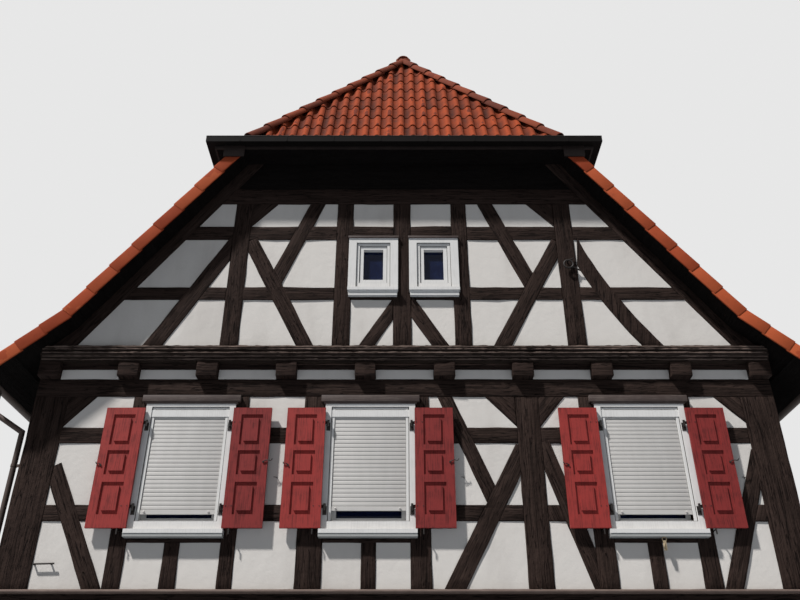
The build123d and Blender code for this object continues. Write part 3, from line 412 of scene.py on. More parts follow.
def modify(piece, kind, **settings):
    choose(piece)
    modifier = piece.modifiers.new(kind.lower(), kind)
    for name, value in settings.items():
        setattr(modifier, name, value)
    bpy.ops.object.modifier_apply(modifier=modifier.name)


def repeat(piece, count, step):
    modify(
        piece, "ARRAY", count=count, use_relative_offset=False,
        use_constant_offset=True, constant_offset_displace=step,
    )


def soften(piece, width, segments=2):
    modify(piece, "BEVEL", width=width, segments=segments, limit_method="ANGLE", use_clamp_overlap=True)


def ruffle(piece, texture, strength):
    modify(piece, "DISPLACE", texture=texture, strength=strength, mid_level=0.5, texture_coords="LOCAL")


def face_out(piece):
    enter(piece, action="SELECT")
    bpy.ops.mesh.normals_make_consistent(inside=False)
    leave()


def settle(name, scale=(1, 1, 1)):
    """Names the primitive just added, and moves its place, turn and scale into its mesh."""
    piece = bpy.context.object
    piece.name = name
    piece.scale = scale
    choose(piece)
    bpy.ops.object.transform_apply(location=True, rotation=True, scale=True)
    return piece


def bar(name, low, high):
    """A square-edged bar between two corners, to be shaped further."""
    low, high = Vector(low), Vector(high)
    bpy.ops.mesh.primitive_cube_add(size=1, location=(low + high) / 2)
    return settle(name, high - low)


def rod(name, start, end, radius, sides=12):
    """A round rod between two points."""
    start, end = Vector(start), Vector(end)
    run = end - start
    bpy.ops.mesh.primitive_cylinder_add(
        vertices=sides, radius=radius, depth=run.length, location=(start + end) / 2,
        rotation=run.to_track_quat("Z", "Y").to_euler(),
    )
    return settle(name)


def ring(name, middle, major, minor, turn=(math.pi / 2, 0, 0)):
    """A ring of round iron, facing the front unless it is turned."""
    bpy.ops.mesh.primitive_torus_add(
        major_radius=major, minor_radius=minor, major_segments=20, minor_segments=8,
        location=middle, rotation=turn,
    )
    return settle(name)


def bent_iron(name, start, legs, radius):
    """A bent iron rod: a small disc drawn along each leg in turn."""
    heading = Vector(legs[0]).normalized()
    bpy.ops.mesh.primitive_circle_add(
        vertices=8, radius=radius, fill_type="NGON", location=start,
        rotation=heading.to_track_quat("Z", "Y").to_euler(),
    )
    piece = settle(name)
    enter(piece, action="SELECT")
    for leg in legs:
        bpy.ops.mesh.extrude_region_move(TRANSFORM_OT_translate={"value": leg})
    leave()
    face_out(piece)
    return piece


def cut_away(piece, point, outward, fill=True):
    """Bisects the piece by a plane and clears what lies on the plane's outward side."""
    enter(piece, action="SELECT")
    bpy.ops.mesh.bisect(plane_co=point, plane_no=outward, clear_outer=True, use_fill=fill)
    leave()


def score(point, normal):
    """Cuts the whole piece that is being edited along a plane, and keeps both sides."""
    bpy.ops.mesh.select_all(action="SELECT")
    bpy.ops.mesh.bisect(plane_co=point, plane_no=normal)


def copy_at(piece, name, matrix):
    """A copy with a mesh of its own, placed by the matrix."""
    copy = bpy.data.objects.new(name, piece.data.copy())
    bpy.context.scene.collection.objects.link(copy)
    copy.data.transform(matrix)
    if matrix.determinant() < 0:
        copy.data.flip_normals()
    return copy


def join(name, pieces):
    choose(pieces[0])
    for piece in pieces:
        piece.select_set(True)
    bpy.ops.object.join()
    joined = bpy.context.object
    joined.name = name
    return joined


def remove(piece):
    bpy.data.objects.remove(piece)


def clone_node(node, name, weld=True):
    """A copy of a CAD node's mesh, welded so that its flat faces are whole again."""
    piece = copy_at(nodes[node], name, Matrix.Identity(4))
    if weld:
        enter(piece, action="SELECT")
        bpy.ops.mesh.remove_doubles(threshold=0.00005)
        bpy.ops.mesh.dissolve_limited(angle_limit=math.radians(0.5))
        leave()
    return piece


def islands(mesh):
    """The number of the loose part that each point belongs to."""
    label = np.arange(len(mesh.vertices))
    ends = np.empty(2 * len(mesh.edges), dtype=np.int64)
    mesh.edges.foreach_get("vertices", ends)
    ends = ends.reshape(-1, 2)
    while True:
        low = np.minimum(label[ends[:, 0]], label[ends[:, 1]])
        before = label.copy()
        np.minimum.at(label, ends[:, 0], low)
        np.minimum.at(label, ends[:, 1], low)
        label = label[label]
        if (label == before).all():
            return label


def lay_grain(piece):
    """A UV map in metres: along the longest edge of each loose part, and across it."""
    mesh = piece.data
    label = islands(mesh)
    points = np.array([v.co for v in mesh.vertices])
    longest = {}
    for edge in mesh.edges:
        first, second = edge.vertices
        run = points[second] - points[first]
        length = float(np.linalg.norm(run))
        part = int(label[first])
        if length > longest.get(part, (0, None))[0]:
            longest[part] = (length, run / length)
    shift = {part: chance.uniform(0, 40, 2) for part in sorted(longest)}
    layer = mesh.uv_layers.new(name="grain")
    for face in mesh.polygons:
        part = int(label[face.vertices[0]])
        along = longest[part][1]
        normal = np.array(face.normal)
        across = np.cross(normal, along)
        # On an end face the grain has no direction, so it follows an edge of the face
        if np.linalg.norm(across) < 0.4:
            side = np.array((0.0, 0.0, 1.0)) if abs(along[2]) < 0.7 else np.array((1.0, 0.0, 0.0))
            along = np.cross(side, normal)
            across = np.cross(normal, along)
        for corner in face.loop_indices:
            point = points[mesh.loops[corner].vertex_index]
            layer.data[corner].uv = (
                float(point @ along + shift[part][0]), float(point @ across + shift[part][1]),
            )


def give_tones(piece, tones):
    """Stores the tone of the clay at each point, from 0, dark, to 1, light."""
    layer = piece.data.attributes.new("tone", "FLOAT", "POINT")
    layer.data.foreach_set("value", tones.astype(np.float32))


def finish_piece(piece, material, replaced=(), smooth=None, body="house"):
    """Gives the piece its material, the nodes it stands for and its body."""
    piece.data.materials.clear()
    piece.data.materials.append(material)
    choose(piece)
    if smooth:
        bpy.ops.object.shade_smooth_by_angle(angle=math.radians(smooth))
    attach(piece, body)
    if replaced:
        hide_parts(*replaced)


def dress_node(node, material):
    """Keeps a CAD node and gives it a material."""
    mesh = nodes[node].data
    mesh.materials.clear()
    mesh.materials.append(material)


def timber(node, material, edge=0.006, smooth=40):
    """A CAD node's beams with eased edges and grain along each beam."""
    piece = clone_node(node, node + "_wood")
    soften(piece, edge)
    lay_grain(piece)
    finish_piece(piece, material, (node,), smooth)


# Hand-hewn oak: the beams are scored across and made to waver
hewing = bpy.data.textures.new("hewing", "CLOUDS")
hewing.noise_scale = 0.32
hewing.noise_depth = 1
hewing_spacing = 0.19
hewing_depth = 0.02


def hewn(node):
    """A CAD node's beams with worn edges that waver like those of hand-hewn oak."""
    piece = clone_node(node, node + "_wood")
    lay_grain(piece)
    soften(piece, 0.009)
    low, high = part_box(node)
    enter(piece)
    for axis in range(3):
        # Across x or y only where the node spans the house
        if high[axis] - low[axis] > 20 * hewing_spacing or axis == 2:
            place = low[axis] + hewing_spacing / 2
            normal = [float(axis == number) for number in range(3)]
            while place < high[axis]:
                score([place * part for part in normal], normal)
                place += hewing_spacing
    leave()
    ruffle(piece, hewing, hewing_depth)
    finish_piece(piece, oak, (node,), 40)


oak_nodes = [
    "corner_posts", "storey_posts", "storey_rails", "storey_braces", "storey_short_braces",
    "head_beams", "sill_beams", "joists", "gable_posts", "gable_rails", "gable_braces",
    "gable_short_braces", "gable_rafters", "collar_beams", "eaves_plates",
]
for node in oak_nodes:
    hewn(node)
timber("gable_sills", moulded_oak, 0.003, smooth=None)
timber("hip_fascias", brown_paint, 0.003)
# The soffit boards are near-black as painted shade
soffits = clone_node("hip_soffits", "hip_soffit_boards", False)
lay_grain(soffits)
finish_piece(soffits, painted_shade_board, ("hip_soffits",))
timber("drip_ledges", ledge_paint, 0.004)
timber("window_headers", header_paint, 0.004)
timber("door_frame", white_paint, 0.003)
timber("entrance_door", door_paint, 0.003)
timber("upper_floor", floor_pine, 0.002)
timber("attic_floor", floor_pine, 0.002)

# The CAD nodes that stay as they are, by their finish
kept_nodes = (
    (plaster, ("storey_infill", "gable_infill", "joist_infill")),
    (masonry, ("ground_wall_front", "ground_wall_back", "ground_wall_left", "ground_wall_right")),
    (concrete, ("ground_floor",)),
    (glass, ("window_panes",)),
    (sill_stone, ("window_sills",)),
    (brown_coat, ("eaves_gutters", "downpipes", "downpipe_necks")),
    (gutter_coat, ("hip_gutters",)),
    (iron, ("shutter_pintles", "shutter_catches")),
)
for material, kept in kept_nodes:
    for node in kept:
        dress_node(node, material)

# Pantiles: one tile, laid in courses on each slope and cut along the hips
tile_pitch = 0.165
tile_gauge = 0.37
tile_lap = 0.06
tile_lip = 0.008
tile_thickness = 0.013
tile_wave = 0.021
tile_spread = 1.32
tile_steps = 4
tile_lean = 0.036
tile_roll = math.radians(-1.8)
tile_bed = 0.012
bed_depth = 0.045
tile_smooth = 35
# How much of a tile's tone is its own, and how much is painted shade from its height above the hollows
own_share, hollow_shade_share = 0.38, 0.62
eaves_courses = 3
kick_overlap = 0.12
hip_foot_drop = 0.03
hip_ratio = math.tan(hip_pitch) / math.tan(main_pitch)


def pantile():
    """An S-shaped tile of two arcs, bolder below: x across, y up the slope, z outward."""
    half = tile_pitch / 2
    radius = (half * half / 4 + tile_wave * tile_wave) / (2 * tile_wave)
    sweep = 2 * math.asin(half / 2 / radius)
    rise = radius * math.cos(sweep / 2)
    length = tile_gauge + tile_lap
    bpy.ops.mesh.primitive_plane_add(size=1, location=(-tile_lip / 2, length / 2, 0))
    piece = settle("pantile", (tile_lip, length, 1))
    points = piece.data.vertices
    select_parts(piece, "edges", lambda edge: min(points[end].co.x for end in edge.vertices) > -0.001)
    bpy.ops.mesh.spin(steps=tile_steps, angle=sweep, center=(half / 2, 0, rise), axis=(0, 1, 0))
    bpy.ops.mesh.spin(steps=tile_steps, angle=-sweep, center=(half * 1.5, 0, -rise), axis=(0, 1, 0))
    leave()
    select_parts(piece, "vertices", lambda point: point.co.y < 0.001)
    bpy.ops.transform.resize(value=(1, 1, tile_spread), center_override=(0, 0, 0))
    leave()
    modify(piece, "SOLIDIFY", thickness=tile_thickness, offset=-1)
    face_out(piece)
    return piece


def tile_courses(name, across, courses, matrix, cuts):
    """Lays courses of tiles on a slope whose foot is at the matrix, and cuts them to its edges."""
    piece = pantile()
    piece.name = name
    tilt = Matrix.Rotation(-tile_lean, 4, "X") @ Matrix.Rotation(tile_roll, 4, "Y")
    # Each point's height above the hollows, for the painted shade that darkens the hollows and lightens the
    # crests
    heights = np.array([vertex.co.z for vertex in piece.data.vertices])
    painted_hollow_shade = (heights - heights.min()) / (heights.max() - heights.min())
    piece.data.transform(Matrix.Translation((0, 0, tile_bed)) @ tilt)
    corners = len(piece.data.vertices)
    repeat(piece, across, (tile_pitch, 0, 0))
    repeat(piece, courses, (0, tile_gauge, 0))
    tones = np.repeat(chance.uniform(0, 1, across * courses), corners)
    give_tones(piece, tones * own_share + np.tile(painted_hollow_shade, across * courses) * hollow_shade_share)
    piece.data.transform(matrix)
    for point, outward in cuts:
        cut_away(piece, point, outward, False)
    return piece


def slope_matrix(foot, across, uphill, depth=0.0):
    """Turns x across, y uphill and z out of a slope, at a foot that is sunk into it."""
    across, uphill = Vector(across).normalized(), Vector(uphill).normalized()
    outward = across.cross(uphill)
    turned = Matrix((across, uphill, outward)).transposed().to_4x4()
    return Matrix.Translation(foot - outward * depth) @ turned


def up_slope(side, pitch):
    return Vector((-side * math.cos(pitch), 0, math.sin(pitch)))


def out_of_slope(side, pitch):
    return Vector((side * math.sin(pitch), 0, math.cos(pitch)))


def hip_cut(side, end, keep):
    """The cut along a hip: keep is 1 for the long slope's tiles and -1 for the half-hip's."""
    return (0, end * ridge_end, 0), Vector((-side, end * hip_ratio, 0)).normalized() * keep


def main_tiles(side):
    """Both pitches of one long slope, cut at the half-hips."""
    across = (0, side, 0)
    steep, flat = up_slope(side, main_pitch), up_slope(side, eaves_pitch)
    count = round(2 * verge_face / tile_pitch)
    kick = Vector((side * kick_x, 0, kick_z))
    kick_plane = steep.lerp(flat, 0.5).normalized()
    hips = [hip_cut(side, end, 1) for end in gables]
    verges = [((0, end * verge_face, 0), (0, end, 0)) for end in gables]
    foot = Vector((side * eaves_x, -side * verge_face, eaves_z))
    low = tile_courses(
        "low_courses", count, eaves_courses, slope_matrix(foot, across, flat, bed_depth),
        [(kick, kick_plane)] + verges,
    )
    start = Vector((side * kick_x, -side * verge_face, kick_z)) - steep * kick_overlap
    rows = math.ceil((Vector((0, 0, ridge_height)) - kick).length / tile_gauge) + 1
    high = tile_courses(
        "high_courses", count, rows, slope_matrix(start, across, steep, bed_depth),
        [(kick, -kick_plane), ((0, 0, 0), (-side, 0, 0))] + verges + hips,
    )
    piece = join("main_tiles_" + hands[side], [high, low])
    finish_piece(piece, pantile_clay, (), tile_smooth)


def hip_tiles(end):
    """The courses of one half-hip, from its gutter up to the ridge."""
    uphill = Vector((0, -end * math.cos(hip_pitch), math.sin(hip_pitch)))
    count = 2 * math.ceil(hip_half / tile_pitch)
    rows = math.ceil((ridge_height - hip_foot_z) / math.sin(hip_pitch) / tile_gauge) + 1
    foot = Vector((end * count * tile_pitch / 2, end * hip_face, hip_foot_z)) - uphill * hip_foot_drop
    hips = [hip_cut(side, end, -1) for side in hands]
    matrix = slope_matrix(foot, (-end, 0, 0), uphill, bed_depth)
    piece = tile_courses("hip_tiles_" + gables[end], count, rows, matrix, hips)
    finish_piece(piece, pantile_clay, (), tile_smooth)


for side in hands:
    main_tiles(side)
for end in gables:
    hip_tiles(end)

# The boarding under the tiles: the CAD slopes with their tiled faces let down
boarding_drop = 0.076
for node, pitch in (("roof_left", main_pitch), ("roof_right", main_pitch), ("half_hips", hip_pitch)):
    boarding = clone_node(node, node + "_boarding")
    drop = (0, 0, -boarding_drop / math.cos(pitch))
    shift_faces(boarding, lambda middle, normal: normal.z > 0.2, drop)
    lay_grain(boarding)
    finish_piece(boarding, painted_shade_board, (node,))

# Half-round caps along the ridge and the hips, each lower end over the next
cap_radius = 0.097
cap_taper = 0.86
cap_length = 0.44
cap_skirt = 0.02
cap_thickness = 0.015
cap_rim = 0.012
cap_gauge = 0.38
cap_lean = math.radians(-1.8)
hip_cap_lift = -0.062
ridge_cap_lift = -0.06
hip_overhang = 0.1
ridge_overhang = 0.05


def round_cap():
    """A tapered half-round tile with a raised rim, y up the hip, z outward."""
    bpy.ops.mesh.primitive_cone_add(
        vertices=20, radius1=cap_radius, radius2=cap_radius * cap_taper, depth=cap_length,
        end_fill_type="NOTHING", location=(0, cap_length / 2, 0), rotation=(-math.pi / 2, 0, 0),
    )
    piece = settle("cap")
    cut_away(piece, (0, 0, -cap_skirt), (0, 0, -1), False)
    modify(piece, "SOLIDIFY", thickness=cap_thickness, offset=-1)
    face_out(piece)
    select_faces(piece, lambda middle, normal: normal.y < -0.7)
    bpy.ops.mesh.extrude_region_shrink_fatten(TRANSFORM_OT_shrink_fatten={"value": cap_rim})
    leave()
    soften(piece, 0.004, 2)
    return piece


def cap_row(name, start, end, lift, replaced):
    """A row of caps from the lower end to the upper end of an edge."""
    start, end = Vector(start), Vector(end)
    run = end - start
    uphill = run.normalized()
    across = uphill.cross(Vector((0, 0, 1))).normalized()
    count = round(run.length / cap_gauge)
    gauge = run.length / count
    cap = round_cap()
    seat = Matrix.Translation((0, 0, lift)) @ Matrix.Rotation(cap_lean, 4, "X")
    rows = []
    for number in range(count):
        matrix = slope_matrix(start + uphill * (gauge * number), across, uphill)
        rows.append(copy_at(cap, f"cap_{number}", matrix @ seat))
    points = len(cap.data.vertices)
    remove(cap)
    piece = join(name, rows)
    give_tones(piece, np.repeat(chance.uniform(0.1, 0.9, count), points))
    finish_piece(piece, cap_clay, (replaced,), tile_smooth)


for end, gable in gables.items():
    for side, hand in hands.items():
        top = Vector((0, end * ridge_end, ridge_height))
        foot = Vector((side * hip_half, end * hip_face, hip_foot_z))
        start = foot - (top - foot).normalized() * hip_overhang
        cap_row(f"hip_caps_{gable}_{hand}", start, top, hip_cap_lift, "hip_caps")
ridge_reach = ridge_end + ridge_overhang
cap_row(
    "ridge_caps_row", (0, -ridge_reach, ridge_height), (0, ridge_reach, ridge_height),
    ridge_cap_lift, "ridge_caps",
)

# Verge tiles: an L-shaped tile over the edge of each slope, gable by gable
cheek_inner = 0.002
cheek_outer = 0.024
cheek_depth = 0.135
flange_width = 0.13
verge_gauge = 0.38
verge_length = 0.415
verge_thickness = 0.02
verge_lean = math.radians(-1.4)
verge_skew = math.radians(1.2)
verge_counts = {"low": 3, "high": 8}


def verge_tile():
    """One verge tile: x outward past the gable, y up the slope, z out of the slope."""
    tile = bar("tile", (-flange_width, 0, 0), (cheek_outer, verge_length, verge_thickness))
    enter(tile)
    score((cheek_inner, 0, 0), (1, 0, 0))
    leave()
    select_faces(tile, lambda middle, normal: normal.z < -0.9 and middle.x > cheek_inner)
    bpy.ops.mesh.extrude_region_move(TRANSFORM_OT_translate={"value": (0, 0, -cheek_depth)})
    leave()
    soften(tile, 0.006, 2)
    return tile


def verge_run(name, foot, top, side, end, pitch, count):
    """Verge tiles along one pitch of a slope's edge, from its foot to its top."""
    uphill = (top - foot).normalized()
    gauge = (top - foot).length / count
    tile = verge_tile()
    tile.data.transform(Matrix.Scale(gauge / verge_gauge, 4, (0, 1, 0)))
    turned = Matrix((Vector((0, end, 0)), uphill, out_of_slope(side, pitch))).transposed().to_4x4()
    lean = Matrix.Rotation(verge_lean, 4, "X") @ Matrix.Rotation(verge_skew, 4, "Z")
    rows = []
    for number in range(count):
        place = foot + uphill * gauge * number
        rows.append(copy_at(tile, f"verge_{number}", Matrix.Translation(place) @ turned @ lean))
    remove(tile)
    return join(name, rows)


def verge(side, end):
    """The verge tiles of one slope at one gable, from the eaves to the hip's soffit."""
    y = end * verge_face
    eaves = Vector((side * eaves_x, y, eaves_z))
    kick = Vector((side * kick_x, y, kick_z))
    high = kick + up_slope(side, main_pitch) * ((soffit_low - kick_z) / math.sin(main_pitch))
    rows = [
        verge_run("verge_low", eaves, kick, side, end, eaves_pitch, verge_counts["low"]),
        verge_run("verge_high", kick, high, side, end, main_pitch, verge_counts["high"]),
    ]
    piece = join(f"verge_tiles_{gables[end]}_{hands[side]}", rows)
    cut_away(piece, (0, 0, soffit_low - 0.004), (0, 0, 1))
    label = islands(piece.data)
    tones = chance.uniform(0, 1, len(label))
    give_tones(piece, tones[label])
    finish_piece(piece, verge_clay, ("verge_cheeks",), tile_smooth)


for side in hands:
    for end in gables:
        verge(side, end)

# Each wall's turn from the front wall, its reach from the middle and the windows along it
attic_windows = (-0.397, 0.378)
end_windows = (-2.492, -0.400, 2.733)
side_windows = (-3.0, 0.0, 3.0)
walls = {
    "front": (0, half_length, end_windows),
    "right": (90, half_width, side_windows),
    "back": (180, half_length, end_windows),
    "left": (270, half_width, side_windows),
}


def on_wall(wall, place, out=0.0):
    """The matrix that carries a piece from the front wall's middle to a place on a wall."""
    turn, reach, _ = walls[wall]
    shift = Matrix.Translation((0, half_length - reach, 0))
    return Matrix.Rotation(math.radians(turn), 4, "Z") @ shift @ Matrix.Translation((place, -out, 0))


# Window frames: the CAD casings with eased edges, in the attics brought further out
attic_low = 6.7
attic_frame_y = gable_face - 0.010
attic_sash_y = gable_face - 0.035
attic_frame_step = 0.022
attic_sash_step = 0.034


def bring_out(piece, face_y, distance):
    """Moves the attic frames' or sashes' outer faces at face_y outward, on both gables."""
    for end in gables:
        shift_faces(
            piece,
            lambda middle, normal: (
                middle.z > attic_low and normal.y * end > 0.9 and abs(middle.y * end - face_y) < 0.002
            ),
            (0, end * distance, 0),
        )


frames = clone_node("window_frames", "window_frames_wood")
bring_out(frames, attic_frame_y, attic_frame_step)
bring_out(frames, attic_sash_y, attic_sash_step)
soften(frames, 0.003)
lay_grain(frames)
finish_piece(frames, white_paint, ("window_frames",))

# Joint lines: half the width, the lower and upper edge, and how far out each one lies
seal_width = 0.006
seal_rise = 0.003
attic_frame_line = (0.2175, 6.848, 7.527, attic_frame_y + attic_frame_step)
attic_sash_line = (0.1775, 6.927, 7.487, attic_sash_y + attic_sash_step)
storey_line = (0.449, 3.94, 5.275, half_length + 0.016)


def seals(line, places):
    """A thin dark joint line round the frames at places, each a wall and a place along it."""
    half, low, high, out = line
    bpy.ops.mesh.primitive_plane_add(
        size=1, location=(0, 0, (low + high) / 2), rotation=(math.pi / 2, 0, 0),
    )
    seal = settle("seal", (2 * half, high - low, 1))
    enter(seal, action="SELECT")
    bpy.ops.mesh.inset(thickness=seal_width)
    bpy.ops.mesh.delete(type="FACE")
    leave()
    modify(seal, "SOLIDIFY", thickness=seal_rise, offset=1)
    copies = [copy_at(seal, "seal_copy", on_wall(wall, place, out)) for wall, place in places]
    remove(seal)
    return copies


attic_places = [(wall, place) for place in attic_windows for wall in ("front", "back")]
storey_places = [(wall, place) for wall in walls for place in walls[wall][2]]
all_seals = seals(attic_frame_line, attic_places) + seals(attic_sash_line, attic_places)
all_seals += seals(storey_line, storey_places)
finish_piece(join("frame_seals", all_seals), rubber)

# Slatted curtains in their guides, the middle one of each wall a little higher
slat_pitch = 0.048
slat_body = 0.0445
rail_height = 0.052
curtain_half = 0.41
curtain_low = 4.02
curtain_high = 5.152
curtain_lifts = (0.0, 0.04, 0.0)
curtain_back = -half_length + 0.006
curtain_front = -half_length - 0.006
stopper_places = (-0.3608, 0.3444)


def slat_curtain(bottom):
    """Rounded slats above a bottom rail with two stoppers, in the front wall's middle."""
    half = curtain_half
    rail_top = bottom + rail_height
    slats = bar(
        "slats", (-half, curtain_front, rail_top), (half, 0.003 - half_length, rail_top + slat_body),
    )
    soften(slats, 0.004, 3)
    repeat(slats, math.ceil((curtain_high - rail_top) / slat_pitch), (0, 0, slat_pitch))
    cut_away(slats, (0, 0, curtain_high), (0, 0, 1))
    links = bar(
        "links", (0.004 - half, -half_length, rail_top), (half - 0.004, curtain_back, curtain_high - 0.004),
    )
    rail = bar("rail", (-half, curtain_front - 0.004, bottom), (half, curtain_back, rail_top - 0.003))
    soften(rail, 0.002, 1)
    pieces = [slats, links, rail]
    for place in stopper_places:
        seat = Vector((place, curtain_front - 0.002, bottom + 0.022))
        stopper = rod("stopper", seat, seat + Vector((0, -0.03, 0.004)), 0.011, 14)
        soften(stopper, 0.003, 2)
        pieces.append(stopper)
    return join("curtain", pieces)


curtains = []
for number, lift in enumerate(curtain_lifts):
    curtain = slat_curtain(curtain_low + lift)
    for wall in walls:
        curtains.append(copy_at(curtain, "curtain_copy", on_wall(wall, walls[wall][2][number])))
    remove(curtain)
finish_piece(join("slatted_curtains", curtains), slat_plastic, ("roller_shutters",), 40)

# Wing shutters: the CAD leaves with eased edges and vertical grain, and their ironwork
leaf_front = -half_length - 0.08
leaf_width = 0.442
leaf_clearance = 0.0015
hinge_reach = 0.514
knuckle_cut = 0.5135
hinge_levels = (4.095, 5.065)
rivet_insets = (0.022, 0.085)
stay_level = 4.571
stay_offset = 0.019
panel_drop = 0.006


def leaf_ironwork(centre, side):
    """Rivets beside both hinges and a stay hook at the free edge, on the open leaf."""
    near = centre + side * hinge_reach
    free = near + side * leaf_width
    pieces = []
    for level in hinge_levels:
        for inset in rivet_insets:
            seat = Vector((near + side * inset, leaf_front + 0.002, level))
            pieces.append(rod("rivet", seat, seat + Vector((0, -0.005, 0)), 0.006, 10))
    # The hooks of a pair lie at different heights, so that the closed leaves' hooks pass
    eye = Vector((free - side * 0.05, leaf_front + 0.002, stay_level + side * stay_offset))
    pieces.append(rod("boss", eye, eye + Vector((0, -0.014, 0)), 0.011, 12))
    out = side * (0.018 if side > 0 else 0.010)
    legs = [
        (out, -0.004, 0.012), (out, 0, 0.006), (out, 0, 0.001), (out, 0, -0.006),
        (out, 0, 0.006), (out * 0.6, 0, 0.016),
    ]
    pieces.append(bent_iron("stay_hook", eye + Vector((0, -0.01, 0)), legs, 0.006))
    return pieces


def wing_shutter(window, centre, side, hand):
    """One leaf with deeper panels and a clear free edge, and its knuckles as ironwork."""
    node = f"{window}_window_{hand}_shutter"
    leaf = clone_node(node, node + "_wood")
    shift_faces(
        leaf, lambda middle, normal: normal.y < -0.9 and -0.076 < middle.y + half_length < -0.06,
        (0, panel_drop, 0),
    )
    knuckles = copy_at(leaf, node + "_knuckles", Matrix.Identity(4))
    edge = (centre + side * knuckle_cut, 0, 0)
    free = (centre + side * (hinge_reach + leaf_width - leaf_clearance), 0, 0)
    cut_away(leaf, edge, (-side, 0, 0))
    cut_away(leaf, free, (side, 0, 0))
    cut_away(knuckles, edge, (side, 0, 0))
    soften(leaf, 0.002, 1)
    lay_grain(leaf)
    finish_piece(leaf, red_paints_lit_and_shaded[hand], (node,), 20, node + "_leaf")
    ironwork = join(node + "_ironwork", [knuckles] + leaf_ironwork(centre, side))
    finish_piece(ironwork, iron, (), 30, node + "_leaf")


for window, centre in zip(("left", "middle", "right"), end_windows):
    for side, hand in hands.items():
        wing_shutter(window, centre, side, hand)

# The boarding above the collar beams, near-black as painted shade
timber("gable_boarding", painted_shade_board, 0.003)

# The gable sill's ragged mouldings: how far each lies below the sill's top, its height and reach
sill_low, sill_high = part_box("gable_sills")
mouldings = (
    (0.026, 0.014, -0.012), (0.045, 0.012, 0.005), (0.072, 0.010, 0.004),
    (0.113, 0.014, -0.006), (0.151, 0.012, -0.028), (0.186, 0.012, -0.044),
)
moulding_inset = 0.02
moulding_depth = 0.09
raggedness = bpy.data.textures.new("raggedness", "CLOUDS")
raggedness.noise_scale = 0.06
raggedness.noise_depth = 2
ragged_spacing = 0.04
ragged_depth = 0.024


def ragged_strip(drop, height, reach):
    """One worn ridge of the front sill's profile, its edges broken by weather."""
    top = sill_high.z - drop
    left, right = sill_low.x + moulding_inset, sill_high.x - moulding_inset
    piece = bar(
        "ridge", (left, sill_low.y - reach, top - height), (right, sill_low.y + moulding_depth, top),
    )
    lay_grain(piece)
    enter(piece)
    count = round((sill_high.x - sill_low.x) / ragged_spacing)
    for number in range(1, count):
        score((left + number * (right - left) / count, 0, 0), (1, 0, 0))
    leave()
    ruffle(piece, raggedness, ragged_depth)
    return piece


front_ridges = [ragged_strip(*moulding) for moulding in mouldings]
half_turn = Matrix.Rotation(math.pi, 4, "Z")
back_ridges = [copy_at(ridge, "back_ridge", half_turn) for ridge in front_ridges]
# The ridges take the lighter oak, weathered and also painted highlight
finish_piece(join("sill_mouldings", front_ridges + back_ridges), worn_and_lit_edge, (), 30)

# The filler timbers under the sill, between the joists
infill_low, infill_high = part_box("joist_infill")
filler_height = 0.07
fillers = []
for end in gables:
    near, far = sorted((end * (infill_high.y - 0.02), end * (infill_high.y + 0.03)))
    filler = bar(
        "filler", (infill_low.x, near, infill_high.z - filler_height),
        (infill_high.x, far, infill_high.z - 0.001),
    )
    lay_grain(filler)
    select_faces(filler, lambda middle, normal: abs(normal.y) > 0.9 and abs(middle.y) > infill_high.y)
    bpy.ops.mesh.inset(thickness=0.012, depth=-0.006)
    leave()
    soften(filler, 0.004)
    fillers.append(filler)
finish_piece(join("filler_timbers", fillers), oak, (), 30)

# Small fittings on the front wall: a spike with a ring, a stay and a barb on a gable post
wall_y = -half_length
gable_y = -gable_face
spike_x, spike_z = 2.09, 7.24
post_irons = [
    rod("spike", (spike_x, gable_y + 0.02, spike_z), (spike_x, gable_y - 0.07, spike_z), 0.011),
    ring("hanging_ring", (spike_x, gable_y - 0.06, 7.18), 0.058, 0.012),
    rod("stay", (spike_x, gable_y - 0.05, spike_z), (2.17, gable_y - 0.02, 7.29), 0.009),
    rod("barb", (2.12, gable_y - 0.05, 7.16), (2.24, gable_y - 0.03, 7.1), 0.01),
]
finish_piece(join("post_irons", post_irons), iron, (), 40)

# A pulley that hangs from an eye under the right window
pulley_x, pulley_y = 2.77, wall_y - 0.06
pulley_parts = [
    rod("eye_shank", (pulley_x, wall_y + 0.02, 3.775), (pulley_x, pulley_y, 3.765), 0.007),
    ring("eye", (pulley_x, pulley_y, 3.742), 0.022, 0.006),
    ring("wheel", (2.765, pulley_y, 3.665), 0.026, 0.011, (math.pi / 2, 0, math.pi / 3)),
    bar("cheek", (2.748, wall_y - 0.075, 3.62), (2.782, wall_y - 0.069, 3.725)),
]
finish_piece(join("pulley", pulley_parts), brass, (), 40)

# A small hook in the wall beside each right leaf's free edge
wall_hooks = []
for centre in end_windows:
    foot = Vector((centre + hinge_reach + leaf_width + 0.11, wall_y + 0.02, 4.43))
    legs = [(0, -0.036, 0.002), (-0.01, -0.01, 0), (-0.026, -0.003, 0.002)]
    wall_hooks.append(bent_iron("wall_hook", foot, legs, 0.004))
finish_piece(join("wall_hooks", wall_hooks), iron, (), 40)

# A holder on two pins, low on the left
holder_y = wall_y - 0.03
holder_radius = 0.009
holder_parts = [rod("holder", (-3.93, holder_y, 3.49), (-3.71, holder_y, 3.495), holder_radius)]
for x, z in ((-3.93, 3.49), (-3.75, 3.494)):
    holder_parts.append(rod("holder_pin", (x, wall_y + 0.02, z), (x, wall_y - 0.034, z), holder_radius))
finish_piece(join("wall_holder", holder_parts), iron, (), 40)

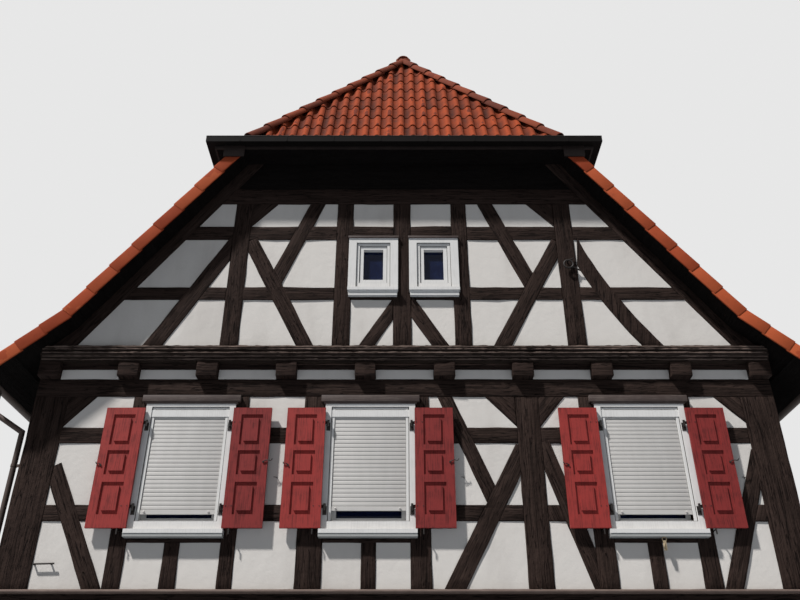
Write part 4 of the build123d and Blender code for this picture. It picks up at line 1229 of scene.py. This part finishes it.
# Box gutters of the hips: a rolled bead along the rim, coated lighter than the gutter as a painted
# highlight, and the ends of their brackets
gutter_low, gutter_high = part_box("hip_gutters")
bead_x, bead_y, bead_z = gutter_high.x - 0.004, gutter_high.y - 0.004, gutter_high.z - 0.006
bead_radius = 0.008
return_y = bead_y - 0.75
clip_count = 8
clip_span = 4.4
clip_half = 0.011
beads, clips = [], []
for end in gables:
    corners = [
        (-bead_x, end * return_y), (-bead_x, end * bead_y),
        (bead_x, end * bead_y), (bead_x, end * return_y),
    ]
    for first, second in zip(corners, corners[1:]):
        beads.append(rod("bead", (*first, bead_z), (*second, bead_z), bead_radius))
    for number in range(clip_count):
        x = number * clip_span / (clip_count - 1) - clip_span / 2
        y = end * gutter_high.y
        clip = bar(
            "clip", (x - clip_half, y - 0.003, gutter_low.z + 0.004),
            (x + clip_half, y + 0.003, gutter_high.z - 0.008),
        )
        soften(clip, 0.0015, 1)
        clips.append(clip)
finish_piece(join("gutter_beads", beads), bead_highlight_coat, (), 40)
finish_piece(join("gutter_clips", clips), gutter_coat)


def floor():
    """A pale floor, darker to the light that it throws back on the house."""
    bpy.ops.mesh.primitive_plane_add(size=120, location=(0, 0, -0.002))
    piece = bpy.context.object
    piece.name = "pale_floor"
    finish = Finish("pale_floor")
    cloud = finish.noise(finish.place(), 0.15, 2)
    pale = finish.mix(cloud, (0.39, 0.39, 0.385, 1), (0.42, 0.42, 0.41, 1))
    colour = finish.mix(finish.seen(), (0.22, 0.245, 0.28, 1), pale)
    piece.data.materials.append(finish.done(colour, 0.9))


def sun(tilt, turn, energy, spread):
    """A sun lamp, tilted from overhead and then turned, with all its angles in degrees."""
    bpy.ops.object.light_add(type="SUN", rotation=(math.radians(tilt), 0, math.radians(turn)))
    lamp = bpy.context.object.data
    lamp.energy = energy
    lamp.angle = math.radians(spread)


def surround():
    """A world that is pale to the eye and adds only a faint, even light."""
    world = bpy.data.worlds.new("studio")
    bpy.context.scene.world = world
    world.use_nodes = True
    studio = Nodes(world.node_tree)
    faint = studio.tree.nodes["Background"]
    studio.feed(faint, "Color", (0.86, 0.92, 1.0, 1))
    studio.feed(faint, "Strength", 0.15)
    pale = studio.node("Background", {}, {"Strength": 1.0})
    mixed = studio.node("MixShader", {}, {0: studio.seen(), 1: Socket(studio, faint.outputs[0]), 2: pale})
    studio.feed(studio.tree.nodes["World Output"], "Surface", mixed)


def camera():
    """A standing photographer's view from in front of the house, tilted up."""
    eye_height, stand_off, tilt = 1.6, 8.85, 30.1
    bpy.ops.object.camera_add(
        location=(-0.055, -half_length - stand_off, eye_height),
        rotation=(math.radians(90 + tilt), 0, 0),
    )
    eye = bpy.context.object
    eye.data.lens = 36.54
    eye.data.sensor_width = 36
    bpy.context.scene.camera = eye


floor()
# The key light from the upper left, and a soft fill from behind on the right
sun(tilt=35.5, turn=-52.4, energy=6.2, spread=3)
sun(tilt=49, turn=127, energy=1.6, spread=40)
surround()
camera()
bpy.context.scene.view_settings.view_transform = "Standard"
